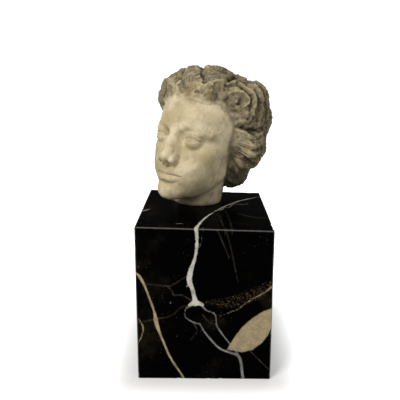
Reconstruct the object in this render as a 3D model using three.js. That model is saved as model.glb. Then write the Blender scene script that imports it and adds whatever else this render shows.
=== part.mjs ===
// A marble head, broken off at the neck, set on a block of black marble.
// Millimetres, +Z up, origin in the middle of the block's underside, front of the block towards -Y.
import * as THREE from 'three';

// The block, with a narrow bevel along its upright and upper edges. Its top falls a little to the right, its
// height is that in the middle, and its two side faces run outwards by the flare towards the foot.
const BLOCK = { width: 150, depth: 165, height: 183, fall: 4, flare: 1.5, bevel: 1.2 };
// Clearance between the cut of the neck and the top of the block
const SEAT_GAP = 0.3;

// The head is carved at seven tenths of life. Its forms are given at life size, in a frame of its own:
// origin between the ears at the level of the eyes, face towards -Y, crown towards +Z.
const SCALE = 0.7;
const TURN = 37;
const LEAN = 5;
const CHIN_UP = 10;
const HEAD_AT = new THREE.Vector3(0, 31, BLOCK.height + 78.5);

// Levels of the face: brow, base of the nose and chin stand a third of the face apart
const BROW = 18;
const THIRD = 60;
const NOSE_BASE = BROW - THIRD;
const MOUTH = NOSE_BASE - THIRD / 3;
const CHIN = NOSE_BASE - THIRD;

// The eye, and the almond between its lids, which is as wide as the space between the eyes
const EYE = [31, -71.5, 0];
const BALL = 13.5;
const LID = 2.3;
const ALMOND = { half: 14.5, up: 5.4, down: 4.4, tilt: 0.06 };

// Edge of the hair as azimuth from the face and height above the eyes, in degrees, on each side of the head
const EDGE_LEFT = [[0, 41], [11, 39], [17, 42], [32, 41], [48, 45.5], [56, 45], [65, 42], [72, 37], [77, 31],
  [80, 23], [82, 14], [85, 3], [89, -7], [97, -14], [112, -30], [130, -60], [180, -62]];
const EDGE_RIGHT = [[0, 41], [14, 41], [28, 39.5], [39, 35], [46, 27], [56, 20], [66, 10], [76, 1], [84, -6],
  [97, -14], [112, -30], [130, -60], [180, -62]];
// At its edge the hair stands off the skin by a first share of its height, and has all of it further inside.
// Both change round the head: azimuth with the share, and azimuth with the width of that slope in degrees.
const FIRST_SHARE = [[0, 0.2], [25, 0.2], [40, 0.06], [76, 0.06], [95, 0.1], [115, 0.3], [180, 0.3]];
const SLOPE = [[0, 9], [25, 9], [40, 14], [60, 14], [76, 11], [95, 9], [110, 6], [180, 6]];

// The hair springs from here above the forehead and is combed out from it, back and to both sides
const SPRING = 46;
const HAIR_CENTRE = [0, -8, 10];
const PATH_STEPS = 14;
// Thickness laid evenly over the mass of hair, and the distance over which two locks run into each other
const PADDING = 5;
const RUN = 5;

// Locks that give the hair its style: width and height in millimetres, then azimuth and height in degrees
// along each. They are the frame of the forehead, the band over it, the arch over that, the crown, two that
// fall over the temple, and the three strands of the roll over the ear. The head's right has them in mirror.
const GREAT_LOCKS = [
  [3.6, 2.5, [[24, 46], [46, 46.5], [67, 43], [76, 31], [82, 17]]],
  [6, 6, [[20, 54], [36, 48.5], [63, 47], [78, 43.5], [84, 38], [77, 33]]],
  [5.5, 7, [[26, 55], [48, 53], [72, 54], [86, 46], [90, 33], [90, 17]]],
  [12, 5.5, [[-40, 82], [20, 77], [46, 68], [67, 57]]],
  [7.5, 6, [[62, 60], [90, 60], [96, 46], [103, 19]]],
  [8, 6, [[96, 62], [109, 48], [112, 34], [115, 18]]],
  [8, 5, [[78, 15], [94, 8], [122, 16]]],
  [10, 7, [[80, 6], [92, 0], [124, 12]]],
  [9, 5, [[86, -7], [94, -10], [122, 4]]],
];
// Drilled eyes of the curls: azimuth, height, radius and depth
const DRILLED = [[-44, 40, 4.5, 12], [76, 39.5, 4.2, 11], [-76, 39, 4.5, 10], [103, -19, 7, 10]];
// Valleys between the great masses of hair: depth, half width, and azimuth and height along them
const VALLEYS = [
  [7, 3.5, [[76, 20], [84, 15.5], [94, 13], [104, 14], [116, 19]]],
  [7, 3.5, [[-60, 18], [-76, 12], [-90, 11], [-112, 14]]],
  [9, 4.5, [[27, 52], [20, 60], [-30, 78], [-110, 76]]],
  [9, 4.5, [[55, 53], [64, 58], [100, 68], [150, 72]]],
  [6, 4, [[90, 51], [100, 57], [118, 61], [146, 60]]],
  [9, 5, [[82, -13], [92, -17], [103, -14], [116, -6]]],
  [9, 5, [[-82, -13], [-92, -17], [-103, -14], [-116, -6]]],
  [7, 4, [[-22, 46], [-30, 57], [-50, 64], [-80, 66]]],
];

// Rays from an upright axis meet the head, and behind the temples they start higher, by up to this rise
const AXIS = [0, -8, 0];
const AXIS_RISE = 36;
// The surface is a net of columns round the head and rings from crown to cut neck, closer on the face
const COLUMNS = 100;
const RINGS = 48;
const FRONT_CROWDING = 0.45;
const FACE_CROWDING = 0.45;
const FACE_RING = 0.68;

const DEGREE = Math.PI / 180;
const { clamp, smoothstep } = THREE.MathUtils;
const mix = (a, b, t) => a + (b - a) * t;
const sub = (a, b) => [a[0] - b[0], a[1] - b[1], a[2] - b[2]];
const dot = (a, b) => a[0] * b[0] + a[1] * b[1] + a[2] * b[2];
const along = (from, way, r) => [from[0] + way[0] * r, from[1] + way[1] * r, from[2] + way[2] * r];
const length = (v) => Math.sqrt(dot(v, v));
const unit = (v) => along([0, 0, 0], v, 1 / length(v));
const both = (p) => [Math.abs(p[0]), p[1], p[2]];

// A number from 0 to 1 that is always the same for the same n, so that no two locks are alike
function chance(n) {
  const v = Math.sin(n * 12.9898 + 4.1414) * 43758.5453;
  return v - Math.floor(v);
}

// Joins two distances so that the forms flow into each other over k
function join(a, b, k) {
  const h = clamp(0.5 + 0.5 * (b - a) / k, 0, 1);
  return mix(b, a, h) - k * h * (1 - h);
}

// Takes form b out of form a, with the edge softened over k
const carve = (a, b, k) => -join(-a, b, k);

// Distance to an ellipsoid with centre c and half-axes r
function egg(p, c, r) {
  const q = [(p[0] - c[0]) / r[0], (p[1] - c[1]) / r[1], (p[2] - c[2]) / r[2]];
  const g = [q[0] / r[0], q[1] / r[1], q[2] / r[2]];
  const k = length(q);
  return k * (k - 1) / (length(g) + 1e-9);
}

// Distance to a tapered bar with round ends
function bar(p, a, b, ra, rb) {
  const ab = sub(b, a);
  const t = clamp(dot(sub(p, a), ab) / dot(ab, ab), 0, 1);
  return length(sub(p, along(a, ab, t))) - mix(ra, rb, t);
}

// Distance to a bent bar: its middle line is drawn from a to b and pulled towards m
function bow(a, m, b, ra, rm, rb) {
  const STEPS = 6;
  const curve = (u, v, w, t) => (1 - t) ** 2 * u + 2 * t * (1 - t) * v + t * t * w;
  const knots = Array.from({ length: STEPS + 1 }, (_, i) => {
    const t = i / STEPS;
    return { at: [0, 1, 2].map((k) => curve(a[k], m[k], b[k], t)), r: curve(ra, rm, rb, t) };
  });
  return (p) => {
    let best = Infinity;
    for (let i = 0; i < STEPS; i++) {
      best = Math.min(best, bar(p, knots[i].at, knots[i + 1].at, knots[i].r, knots[i + 1].r));
    }
    return best;
  };
}

const browRidge = bow([5, -84, BROW - 3], [27, -90, BROW + 7], [52, -60, BROW - 6], 6, 6.5, 5.5);
const upperLip = bow([0, -91.8, MOUTH + 4.8], [9, -95.4, MOUTH + 7.8], [24, -79.5, MOUTH + 1.2], 5, 5.2, 1.8);
const lowerLip = bow([0, -90.4, MOUTH - 5.6], [11, -92, MOUTH - 8], [22, -79.5, MOUTH - 0.4], 7, 6.2, 2);
const mouthLine = bow([0, -98.4, MOUTH - 0.8], [11, -97.4, MOUTH + 0.7], [25, -81.4, MOUTH + 0.9], 1, 1.2, 1);

// Distance in the frontal plane to the almond where two arcs cross
function almond(p) {
  const x = p[0] - EYE[0];
  const z = p[2] - EYE[2] - ALMOND.tilt * x;
  const arc = (rise) => (ALMOND.half ** 2 + rise ** 2) / (2 * rise);
  const upper = Math.hypot(x, z - ALMOND.up + arc(ALMOND.up)) - arc(ALMOND.up);
  const lower = Math.hypot(x, z + ALMOND.down - arc(ALMOND.down)) - arc(ALMOND.down);
  return Math.max(upper, lower);
}

// Distance to the bare head: skull, face, neck and the lower part of the ears
function face(p) {
  const q = both(p);
  let d = egg(p, [0, 8, 30], [72, 95, 82]);
  d = join(d, egg(p, [0, -40, 28], [57, 48, 44]), 16);
  d = join(d, egg(p, [0, -32, -30], [57, 54, 74]), 18);
  // jaw, throat and chin
  d = join(d, bar(q, [10, -70, CHIN + 16], [42, -4, CHIN + 50], 15, 12), 18);
  d = join(d, egg(p, [0, -40, -70], [36, 40, 22]), 12);
  d = join(d, egg(p, [0, -77, CHIN + 13], [18, 17, 16]), 10);
  // cheekbones, cheeks and the rounding behind the lips
  d = join(d, egg(q, [41, -48, -19], [19, 22, 16]), 16);
  d = join(d, egg(q, [27, -58, -46], [22, 21, 26]), 18);
  d = join(d, egg(p, [0, -72, MOUTH + 2], [25, 19, 22]), 12);
  d = join(d, browRidge(q), 9);
  d = join(d, bar(p, [-2, 13, -50], [-14, 24, -190], 44, 41), 14);
  // sockets, then the ball, the lids round the almond and the fold over them
  d = carve(d, egg(q, [30, -99, 0], [21, 19.5, 13.5]), 9);
  d = carve(d, egg(q, [15, -90, 0], [6.5, 9.5, 9]), 6);
  const eye = length(sub(q, EYE)) - BALL;
  const lids = carve(eye - LID, almond(q), 1);
  d = join(d, join(eye, lids, 0.5), 3);
  d = join(d, egg(q, [31, -72, 10.5], [17, 14, 5.5]), 5);
  // ridge, sides, tip, wings and floor of the nose
  d = join(d, bar(p, [0, -84, BROW - 3], [0, -100.5, NOSE_BASE + 12], 6.2, 7.2), 7);
  d = join(d, egg(p, [0, -86, NOSE_BASE + 20], [14, 13, 24]), 7);
  d = join(d, egg(p, [0, -101.5, NOSE_BASE + 9.5], [8.5, 9, 8]), 5);
  d = join(d, egg(q, [11, -93.5, NOSE_BASE + 5.5], [5.6, 9.5, 6.8]), 4);
  d = join(d, bar(p, [0, -104, NOSE_BASE + 3.5], [0, -94, NOSE_BASE - 1.5], 3, 3.4), 3);
  d = carve(d, egg(q, [6.2, -98.5, NOSE_BASE - 2], [3, 5.5, 4.5]), 1.8);
  // lips, the line between them, the hollow over the chin and the groove under the nose
  d = join(d, upperLip(q), 4);
  d = join(d, lowerLip(q), 4);
  d = carve(d, mouthLine(q), 1.8);
  d = carve(d, egg(p, [0, -98.5, CHIN + 24.5], [14, 8.5, 4.6]), 6);
  d = carve(d, bar(p, [0, -99.5, NOSE_BASE - 5], [0, -100.8, NOSE_BASE - 11], 2.6, 3.4), 3);
  const ear = carve(egg(q, [69, 12, -12], [7, 11, 17]), egg(q, [77, 9, -8], [5, 6, 9]), 3);
  return join(d, ear, 5);
}

// Distance to the mass of the hair under its locks: cap, front, crown, back, rolls over the ears, nape
function hairMass(p) {
  const q = both(p);
  let d = egg(p, [0, 12, 34], [82, 88, 80]);
  d = join(d, egg(p, [38, -36, 62], [39, 36, 36]), 22);
  d = join(d, egg(p, [-36, -36, 58], [33, 35, 35]), 22);
  d = join(d, egg(p, [-27, -20, 78], [26, 30, 34.5]), 14);
  d = join(d, egg(p, [-4, 0, 98], [24, 28, 16]), 14);
  d = join(d, egg(q, [49, 32, 56], [36, 40, 37]), 22);
  d = join(d, egg(p, [67, 14, 77], [20, 24, 26.5]), 14);
  d = join(d, egg(q, [62, 21, 1], [32, 39, 25]), 16);
  d = join(d, egg(p, [1, 47, -40], [52, 39, 40]), 20) - PADDING;
  // the curls below are broken off along a plane that slopes with the head
  return carve(d, p[2] + 85 - 0.12 * p[1], 5);
}

// The outermost place where a ray from a point leaves a form
function reach(from, way, form) {
  const NEAR = 20;
  const FAR = 200;
  const STEP = 3;
  let outside = FAR;
  let inside = FAR;
  while (inside > NEAR && form(along(from, way, inside)) > 0) {
    outside = inside;
    inside -= STEP;
  }
  for (let i = 0; i < 9; i++) {
    const middle = (inside + outside) / 2;
    if (form(along(from, way, middle)) > 0) outside = middle;
    else inside = middle;
  }
  return (inside + outside) / 2;
}

// Second number of a line of pairs at an azimuth, such as a height in degrees
function onLine(line, azimuth) {
  const last = line.length - 1;
  const i = clamp(azimuth < line[last][0] ? line.findIndex((k) => k[0] > azimuth) : last, 1, last);
  const [a, b] = [line[i - 1], line[i]];
  return mix(a[1], b[1], clamp((azimuth - a[0]) / (b[0] - a[0]), 0, 1));
}

const edgeOf = (azimuth) => (azimuth > 0 ? EDGE_LEFT : EDGE_RIGHT);

// How many degrees a place lies inside the edge of the hair; below 0 it is bare
function insideHair(azimuth, height) {
  const line = edgeOf(azimuth);
  const a = Math.abs(azimuth);
  let best = Infinity;
  for (let i = 1; i < line.length; i++) {
    const [from, to] = [line[i - 1], line[i]];
    const squeeze = Math.cos(clamp((from[1] + to[1]) / 2, -60, 60) * DEGREE);
    const run = [(to[0] - from[0]) * squeeze, to[1] - from[1]];
    const off = [(a - from[0]) * squeeze, height - from[1]];
    const t = clamp((off[0] * run[0] + off[1] * run[1]) / (run[0] ** 2 + run[1] ** 2), 0, 1);
    best = Math.min(best, Math.hypot(off[0] - t * run[0], off[1] - t * run[1]));
  }
  return height > onLine(line, a) ? best : -best;
}

// A direction from azimuth and height in degrees
function toward(azimuth, height) {
  const [a, h] = [azimuth * DEGREE, height * DEGREE];
  return [Math.cos(h) * Math.sin(a), -Math.cos(h) * Math.cos(a), Math.sin(h)];
}

// A direction by its heading from the spring of the hair, 0 for straight back, and its angle away from there
function combed(heading, angle) {
  const [h, a, s] = [heading * DEGREE, angle * DEGREE, SPRING * DEGREE];
  const back = Math.sin(a) * Math.cos(h);
  return [Math.sin(a) * Math.sin(h), -Math.cos(a) * Math.cos(s) + back * Math.sin(s),
    Math.cos(a) * Math.sin(s) + back * Math.cos(s)];
}

const onMass = (way) => along(HAIR_CENTRE, way, reach(HAIR_CENTRE, way, hairMass));

// A lock: a path laid on the mass of hair, with its width, height and taper
function lock(way, width, height, more) {
  const path = Array.from({ length: PATH_STEPS + 1 }, (_, i) => onMass(way(i / PATH_STEPS)));
  const middle = path[PATH_STEPS / 2];
  const spread = Math.max(...path.map((k) => length(sub(k, middle)))) + width * 1.3;
  return { path, middle, spread, width, height, lift: 2, wave: false, ...more };
}

// Point on a Catmull-Rom curve through pairs of numbers, at a share of its length from 0 to 1
function curveThrough(knots, share) {
  const last = knots.length - 1;
  const i = Math.min(Math.floor(share * last), last - 1);
  const f = share * last - i;
  const beyond = (end, before) => [2 * end[0] - before[0], 2 * end[1] - before[1]];
  const a = knots[i - 1] ?? beyond(knots[0], knots[1]);
  const d = knots[i + 2] ?? beyond(knots[last], knots[last - 1]);
  const [b, c] = [knots[i], knots[i + 1]];
  return [0, 1].map((n) => b[n] + 0.5 * f * (c[n] - a[n]
    + f * (2 * a[n] - 5 * b[n] + 4 * c[n] - d[n] + f * (3 * b[n] - a[n] - 3 * c[n] + d[n]))));
}

// The great locks on both sides; those on the right are moved a little, so that the mirror doesn't show
function greatLocks() {
  const made = [];
  for (const side of [1, -1]) {
    GREAT_LOCKS.forEach(([width, height, knots], number) => {
      const shift = side > 0 ? 0 : 5 * (chance(180 + number) - 0.5);
      const way = (s) => {
        const [azimuth, high] = curveThrough(knots, s);
        return toward(side * azimuth + shift, high + shift);
      };
      made.push(lock(way, width, height, { tip: 0.45 }));
    });
  }
  return made;
}

// Tufts that spring from the forehead in two rows, fall to either side and curl over at their tips
function tufts() {
  const made = [];
  [8, 7].forEach((count, row) => {
    for (let i = 0; i < count; i++) {
      const k = made.length + 1;
      const f = (i + 0.5) / count * 2 - 1;
      const side = f > 0 ? 1 : -1;
      const root = -8 + 34 * f + 6 * (chance(k) - 0.5);
      const start = onLine(edgeOf(root), Math.abs(root)) - 1 + 13 * row;
      const lean = side * (14 + 20 * Math.abs(f)) + 14 * (chance(k + 0.5) - 0.5);
      const curl = side * (10 + 10 * chance(k + 0.6));
      const long = 19 + 9 * chance(k + 0.7);
      const way = (s) => toward(
        root + lean * s + curl * s ** 3 + 5 * side * Math.sin(2 * Math.PI * s),
        start + long * (s - 0.42 * s ** 3) - 7 * Math.abs(f) * s ** 2,
      );
      const high = 2.5 + 3.5 * chance(k + 0.4) + row;
      made.push(lock(way, 9 + 4 * chance(k + 0.2), high, { tip: 0.25, lift: 2.5 }));
    }
  });
  return made;
}

// Waves combed back over the crown and the sides to the nape, in tracks that overlap like tiles
function waves() {
  const made = [];
  for (const side of [-1, 1]) {
    for (let track = 0; track < 7; track++) {
      for (let part = 0; part < 4; part++) {
        const k = 20 + made.length;
        const start = 26 + 32 * part + 14 * (track % 2) + 5 * (chance(k) - 0.5);
        const end = start + 46 + 8 * chance(k + 0.1);
        const heading = 8 + 15.5 * track + (chance(k + 0.11) - 0.5) * 5;
        const swing = 4.5 + 3 * chance(k + 0.2);
        const hook = (7 + 6 * chance(k + 0.8)) * (chance(k + 0.9) > 0.4 ? 1 : -1);
        const way = (s) => combed(
          side * (heading + swing * Math.sin(2 * Math.PI * (s * 1.15 + chance(k + 0.3) * 0.35))
            + hook * clamp((s - 0.68) / 0.32, 0, 1) ** 2),
          mix(start, end, s),
        );
        const broad = 9.5 + 9.5 * Math.sin(Math.min(start + 24, 120) * DEGREE) * (part === 3 ? 0.75 : 1);
        const lift = 2 + 2 * chance(k + 0.77);
        made.push(lock(way, broad * (0.92 + 0.2 * chance(k + 0.44)), 3 + 4 * chance(k + 0.55),
          { tip: 0.28, lift, wave: true }));
      }
    }
  }
  return made;
}

// Curls at the nape, in two rows
function napeCurls() {
  const made = [];
  [[-14, 9], [-27, 8]].forEach(([top, count], row) => {
    for (let i = 0; i < count; i++) {
      const k = 90 + made.length;
      const turn = chance(k) > 0.5 ? 9 : -9;
      const root = 96 + 168 * (i + 0.5 * row) / (count - 0.5);
      const way = (s) => toward(
        root + turn * Math.sin(1.25 * Math.PI * s),
        top + 4 * chance(k + 0.2) - (26 + 6 * chance(k + 0.4)) * s,
      );
      made.push(lock(way, 11 + 2.5 * chance(k + 0.3), 4 + 4 * chance(k + 0.6), { tip: 0.45 }));
    }
  });
  return made;
}

// Distance from a point to a path, flat on the mass, and how far along the path its foot lies
function besidePath(p, normal, path) {
  let best = { gap: Infinity, s: 0 };
  for (let i = 1; i < path.length; i++) {
    const run = sub(path[i], path[i - 1]);
    const t = clamp(dot(sub(p, path[i - 1]), run) / dot(run, run), 0, 1);
    const off = sub(p, along(path[i - 1], run, t));
    const gap = length(along(off, normal, -dot(off, normal)));
    if (gap < best.gap) best = { gap, s: (i - 1 + t) / (path.length - 1) };
  }
  return best;
}

// The height of the hair with one more lock laid on it at a point: a dome that runs into what lies beside
function withLock(height, p, normal, lock, fade) {
  const { s, gap } = besidePath(p, normal, lock.path);
  const root = 0.6 + 0.4 * smoothstep(s, 0, 0.15);
  const half = lock.width * root * (1 - (1 - lock.tip) * smoothstep(s, 0.5, 1));
  const u = gap / half;
  if (u >= 1) return height;
  const back = lock.height * (0.7 + 0.3 * smoothstep(s, 0, 0.25)) * (1 - 0.3 * smoothstep(s, 0.75, 1));
  const value = (back + lock.lift * Math.sin(Math.PI * s)) * (1 - u ** 2) ** 0.8 * fade;
  return -join(-height, -value, RUN * (1 - u ** 4) + 1e-3);
}

const locks = [greatLocks, tufts, waves, napeCurls].flatMap((family) => family());
const holes = DRILLED.map(([a, h, radius, depth]) => ({ at: onMass(toward(a, h)), radius, depth }));
const valleys = VALLEYS.map(([depth, spread, line]) => {
  const path = line.map(([a, h]) => onMass(toward(a, h)));
  return { depth, spread, path };
});

// How far a direction from the middle of the hair lies in the part over the ear where no waves run, 0 to 1
function styled([x, y, z]) {
  const azimuth = Math.abs(Math.atan2(x, -y)) / DEGREE;
  const up = Math.asin(clamp(z, -1, 1)) / DEGREE;
  const round = smoothstep(azimuth, 54, 66) * (1 - smoothstep(azimuth, 112, 124));
  return round * smoothstep(up, -18, -10) * (1 - smoothstep(up, 54, 62));
}

// Height of the hair over its mass at a point that lies so many degrees inside the edge of the hair
function hairHeight(p, inside) {
  const normal = unit(sub(p, HAIR_CENTRE));
  const waveFade = smoothstep(inside, 2, 12) * (1 - styled(normal));
  let height = 0;
  for (const lock of locks) {
    if (length(sub(p, lock.middle)) > lock.spread) continue;
    height = withLock(height, p, normal, lock, lock.wave ? waveFade : 1);
  }
  // each drilled eye has a low rim round it
  for (const { at, radius, depth } of holes) {
    const d = length(sub(p, at));
    height += radius * 0.35 * Math.exp(-(((d - radius * 1.9) / (radius * 0.7)) ** 2));
    height -= depth * Math.exp(-((d / radius) ** 2));
  }
  for (const { depth, spread, path } of valleys) {
    const { gap, s } = besidePath(p, normal, path);
    const swell = Math.sqrt(Math.sin(Math.PI * clamp(s * 0.9 + 0.1, 0, 1)));
    height -= depth * swell * Math.exp(-((gap / spread) ** 2));
  }
  return height;
}

// Where a ray starts, higher behind the temples so that it meets the undersides squarely, and its direction
const rayStart = (a) => along(AXIS, [0, 0, 1], AXIS_RISE * smoothstep(Math.abs(a) / DEGREE, 55, 100));
const rayWay = (a, polar) => [Math.sin(polar) * Math.sin(a), -Math.sin(polar) * Math.cos(a), Math.cos(polar)];

// The surface of the head along a ray: bare, or raised to the hair inside its edge
function surface(a, polar) {
  const [from, way] = [rayStart(a), rayWay(a, polar)];
  const bare = reach(from, way, face);
  const skin = sub(along(from, way, bare), AXIS);
  const azimuth = Math.atan2(skin[0], -skin[1]) / DEGREE;
  const inside = insideHair(azimuth, Math.asin(clamp(skin[2] / length(skin), -1, 1)) / DEGREE);
  const round = Math.abs(a) / DEGREE;
  const hair = reach(from, way, hairMass);
  const p = along(from, way, hair);
  const slope = [0, 1, 2].map((k) => hairMass(p.map((v, i) => (i === k ? v + 0.5 : v))) - hairMass(p));
  const facing = clamp(dot(unit(slope), way), 0.45, 1);
  const first = smoothstep(inside, -0.6, 1);
  const rise = mix(smoothstep(inside, 0, onLine(SLOPE, round)), first, onLine(FIRST_SHARE, round));
  const over = Math.max(0, hair + hairHeight(p, inside) / facing - bare) * rise;
  return along(from, way, bare + over);
}

const pose = new THREE.Matrix4()
  .makeRotationZ(-TURN * DEGREE)
  .multiply(new THREE.Matrix4().makeRotationY(LEAN * DEGREE))
  .multiply(new THREE.Matrix4().makeRotationX(-CHIN_UP * DEGREE));
const placed = (p) => new THREE.Vector3(...p).multiplyScalar(SCALE).applyMatrix4(pose).add(HEAD_AT);

// Height of the top of the block at x
const topAt = (x) => BLOCK.height - BLOCK.fall * x / BLOCK.width;

// The polar angle at which a column meets the cut through the neck, just over the top of the block
function cutAngle(a) {
  let [above, below] = [110 * DEGREE, 176 * DEGREE];
  for (let i = 0; i < 24; i++) {
    const middle = (above + below) / 2;
    const from = rayStart(a);
    const way = rayWay(a, middle);
    const p = placed(along(from, way, reach(from, way, face)));
    if (p.z > topAt(p.x) + SEAT_GAP) above = middle;
    else below = middle;
  }
  return (above + below) / 2;
}

function solid(points, faces, colour, roughness, name) {
  const geometry = new THREE.BufferGeometry();
  geometry.setAttribute('position', new THREE.Float32BufferAttribute(points.flatMap((p) => p.toArray()), 3));
  geometry.setIndex(faces.flat());
  geometry.computeVertexNormals();
  const material = new THREE.MeshStandardMaterial({ color: colour, roughness, metalness: 0 });
  const mesh = new THREE.Mesh(geometry, material);
  mesh.name = name;
  return mesh;
}

// Columns and half columns round the head from its back: azimuth, and polar angle at the cut through the neck
const columns = Array.from({ length: 2 * COLUMNS }, (_, i) => {
  const round = i / COLUMNS * Math.PI - Math.PI;
  const azimuth = round - FRONT_CROWDING * Math.sin(round);
  return { azimuth, cut: cutAngle(azimuth) };
});

// A place on the net: u columns round from the back of the head, v rings down from the crown
function netPoint(u, v) {
  const { azimuth, cut } = columns[2 * u];
  const down = v / RINGS;
  const swing = Math.sin(2 * Math.PI * (down - FACE_RING)) + Math.sin(2 * Math.PI * FACE_RING);
  return placed(surface(azimuth, cut * (down - FACE_CROWDING / (2 * Math.PI) * swing)));
}

function marbleHead() {
  const points = [netPoint(0, 0)];
  const rings = [];
  for (let j = 0; j < RINGS; j++) {
    rings.push(Array.from({ length: COLUMNS }, (_, i) => points.push(netPoint(i, j + 1)) - 1));
  }
  const rim = rings[RINGS - 1];
  const middle = new THREE.Vector3();
  rim.forEach((k) => middle.addScaledVector(points[k].setZ(topAt(points[k].x) + SEAT_GAP), 1 / COLUMNS));
  const under = points.push(middle) - 1;
  const faces = [];
  for (let i = 0; i < COLUMNS; i++) {
    const next = (i + 1) % COLUMNS;
    faces.push([0, rings[0][i], rings[0][next]], [under, rim[next], rim[i]]);
    for (let j = 1; j < RINGS; j++) {
      // each mesh of the net is folded along the diagonal that lies nearer to the carved surface
      const [a, b, c, d] = [rings[j - 1][i], rings[j][i], rings[j][next], rings[j - 1][next]];
      const carved = netPoint(i + 0.5, j + 0.5);
      const miss = (k, l) => points[k].clone().lerp(points[l], 0.5).distanceTo(carved);
      if (miss(a, c) < miss(b, d)) faces.push([a, b, c], [a, c, d]);
      else faces.push([a, b, d], [b, c, d]);
    }
  }
  return solid(points, faces, 0xb9ab8a, 0.55, 'marble_head');
}

// Three loops of corners from the underside to the top, with the bevel between the upper two
function baseBlock() {
  const { width, depth, height, flare, bevel } = BLOCK;
  const points = [];
  const loop = (inset, z) => {
    const [x, y] = [width / 2 - inset + flare * (1 - z / height), depth / 2 - inset];
    const corners = [[-x + bevel, -y], [x - bevel, -y], [x, -y + bevel], [x, y - bevel],
      [x - bevel, y], [-x + bevel, y], [-x, y - bevel], [-x, -y + bevel]];
    const level = (cx) => topAt(cx) * z / height;
    return corners.map(([cx, cy]) => points.push(new THREE.Vector3(cx, cy, level(cx))) - 1);
  };
  const [foot, shoulder, top] = [loop(0, 0), loop(0, height - bevel), loop(bevel, height)];
  const faces = [];
  for (let k = 0; k < foot.length; k++) {
    const next = (k + 1) % foot.length;
    for (const [low, high] of [[foot, shoulder], [shoulder, top]]) {
      faces.push([low[k], low[next], high[next]], [low[k], high[next], high[k]]);
    }
    if (k > 0 && next > 0) faces.push([foot[0], foot[next], foot[k]], [top[0], top[k], top[next]]);
  }
  return solid(points, faces, 0x0d0d0e, 0.15, 'base_block');
}

const headOnBase = new THREE.Group();
headOnBase.add(marbleHead(), baseBlock());

export default headOnBase;
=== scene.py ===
"""A weathered marble head on a block of polished black marble.

The head is worked out at life size, in millimetres, in a frame of its own: origin between the ears at the
level of the eyes, face towards -Y, crown towards +Z. It is then set at seven tenths of life on the block.
The block is given in millimetres too, in the frame of the whole object. Meshes are made in metres.
"""
import logging
import math
from dataclasses import dataclass, field
from enum import Enum
from typing import Callable, Iterable, Sequence

import bpy
import numpy as np
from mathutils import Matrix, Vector


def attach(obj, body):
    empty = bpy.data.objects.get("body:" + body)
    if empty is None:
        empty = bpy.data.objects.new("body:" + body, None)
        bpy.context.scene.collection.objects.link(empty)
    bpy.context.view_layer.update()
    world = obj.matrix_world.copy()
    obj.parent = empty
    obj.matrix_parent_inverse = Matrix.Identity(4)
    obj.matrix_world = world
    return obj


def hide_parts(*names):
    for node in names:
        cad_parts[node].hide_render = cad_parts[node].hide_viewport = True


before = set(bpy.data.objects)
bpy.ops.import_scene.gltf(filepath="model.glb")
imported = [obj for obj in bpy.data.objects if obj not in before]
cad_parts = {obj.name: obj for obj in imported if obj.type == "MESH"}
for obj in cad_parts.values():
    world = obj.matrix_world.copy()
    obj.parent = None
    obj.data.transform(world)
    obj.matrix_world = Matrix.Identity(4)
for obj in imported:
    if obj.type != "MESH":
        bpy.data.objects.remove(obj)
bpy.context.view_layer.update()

LOG = logging.getLogger("marble_head")
MM = 0.001
TINY = 1e-9
CHANCE_RATE, CHANCE_START, CHANCE_GAIN = 12.9898, 4.1414, 43758.5453
SEED_STEP = 17.3
CORNER_WEIGHTS = (1.0, 7.31, 13.97)
Array = np.ndarray
Triple = tuple[float, float, float]
Line = tuple[tuple[float, float], ...]
Form = Callable[[Array], Array]


def smooth(x: Array, low: float, high: float) -> Array:
    """Rises from 0 at low to 1 at high as 3t^2 - 2t^3.

    Args:
        x: Values to read the rise at.
        low: Where it starts.
        high: Where it ends.

    Returns:
        The rise, from 0 to 1, of the same shape as x.
    """
    t = np.clip((x - low) / (high - low), 0.0, 1.0)
    return t * t * (3.0 - 2.0 * t)


def join(a: Array, b: Array, k: float) -> Array:
    """Smaller of two distances, with the forms flowing into each other over k.

    Args:
        a: Distance to the first form.
        b: Distance to the second form.
        k: Width of the fillet between them.

    Returns:
        b + (a - b)h - kh(1 - h), with h = (1 + (b - a)/k)/2 held to 0..1.
    """
    h = np.clip(0.5 + 0.5 * (b - a) / k, 0.0, 1.0)
    return b + (a - b) * h - k * h * (1.0 - h)


def carve(a: Array, b: Array, k: float) -> Array:
    """Takes form b out of form a.

    Args:
        a: Distance to the form that stays.
        b: Distance to the form that is taken out.
        k: Width over which the new edge is softened.

    Returns:
        Distance to what is left.
    """
    return -join(-a, b, k)


def egg(p: Array, centre: Triple, radii: Triple) -> Array:
    """Distance to an ellipsoid: k(k - 1)/g, with k = |p/r| and g = |p/r^2|.

    Args:
        p: Points, one in each row.
        centre: Middle of the ellipsoid.
        radii: Its half-axes.

    Returns:
        Distances, below 0 inside.
    """
    q = (p - np.array(centre)) / np.array(radii)
    k = np.linalg.norm(q, axis=-1)
    return k * (k - 1.0) / (np.linalg.norm(q / np.array(radii), axis=-1) + TINY)


def bar(p: Array, start: Sequence[float], end: Sequence[float], r0: float, r1: float) -> Array:
    """Distance to a tapered bar with round ends: the gap to place t on its axis, less r0 + (r1 - r0)t.

    Args:
        p: Points, one in each row.
        start: First end of the axis.
        end: Second end of the axis.
        r0: Radius at the first end.
        r1: Radius at the second end.

    Returns:
        Distances, below 0 inside.
    """
    a = np.asarray(start, float)
    ab = np.asarray(end, float) - a
    t = np.clip(((p - a) @ ab) / (ab @ ab), 0.0, 1.0)
    return np.linalg.norm(p - (a + t[:, None] * ab), axis=-1) - (r0 + (r1 - r0) * t)


def chance(n: Array | float) -> Array:
    """A number from 0 to 1, always the same for the same n: the fraction of a large multiple of a sine.

    Args:
        n: What the number belongs to.

    Returns:
        The number, or an array of them.
    """
    v = np.sin(np.asarray(n) * CHANCE_RATE + CHANCE_START) * CHANCE_GAIN
    return v - np.floor(v)


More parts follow.
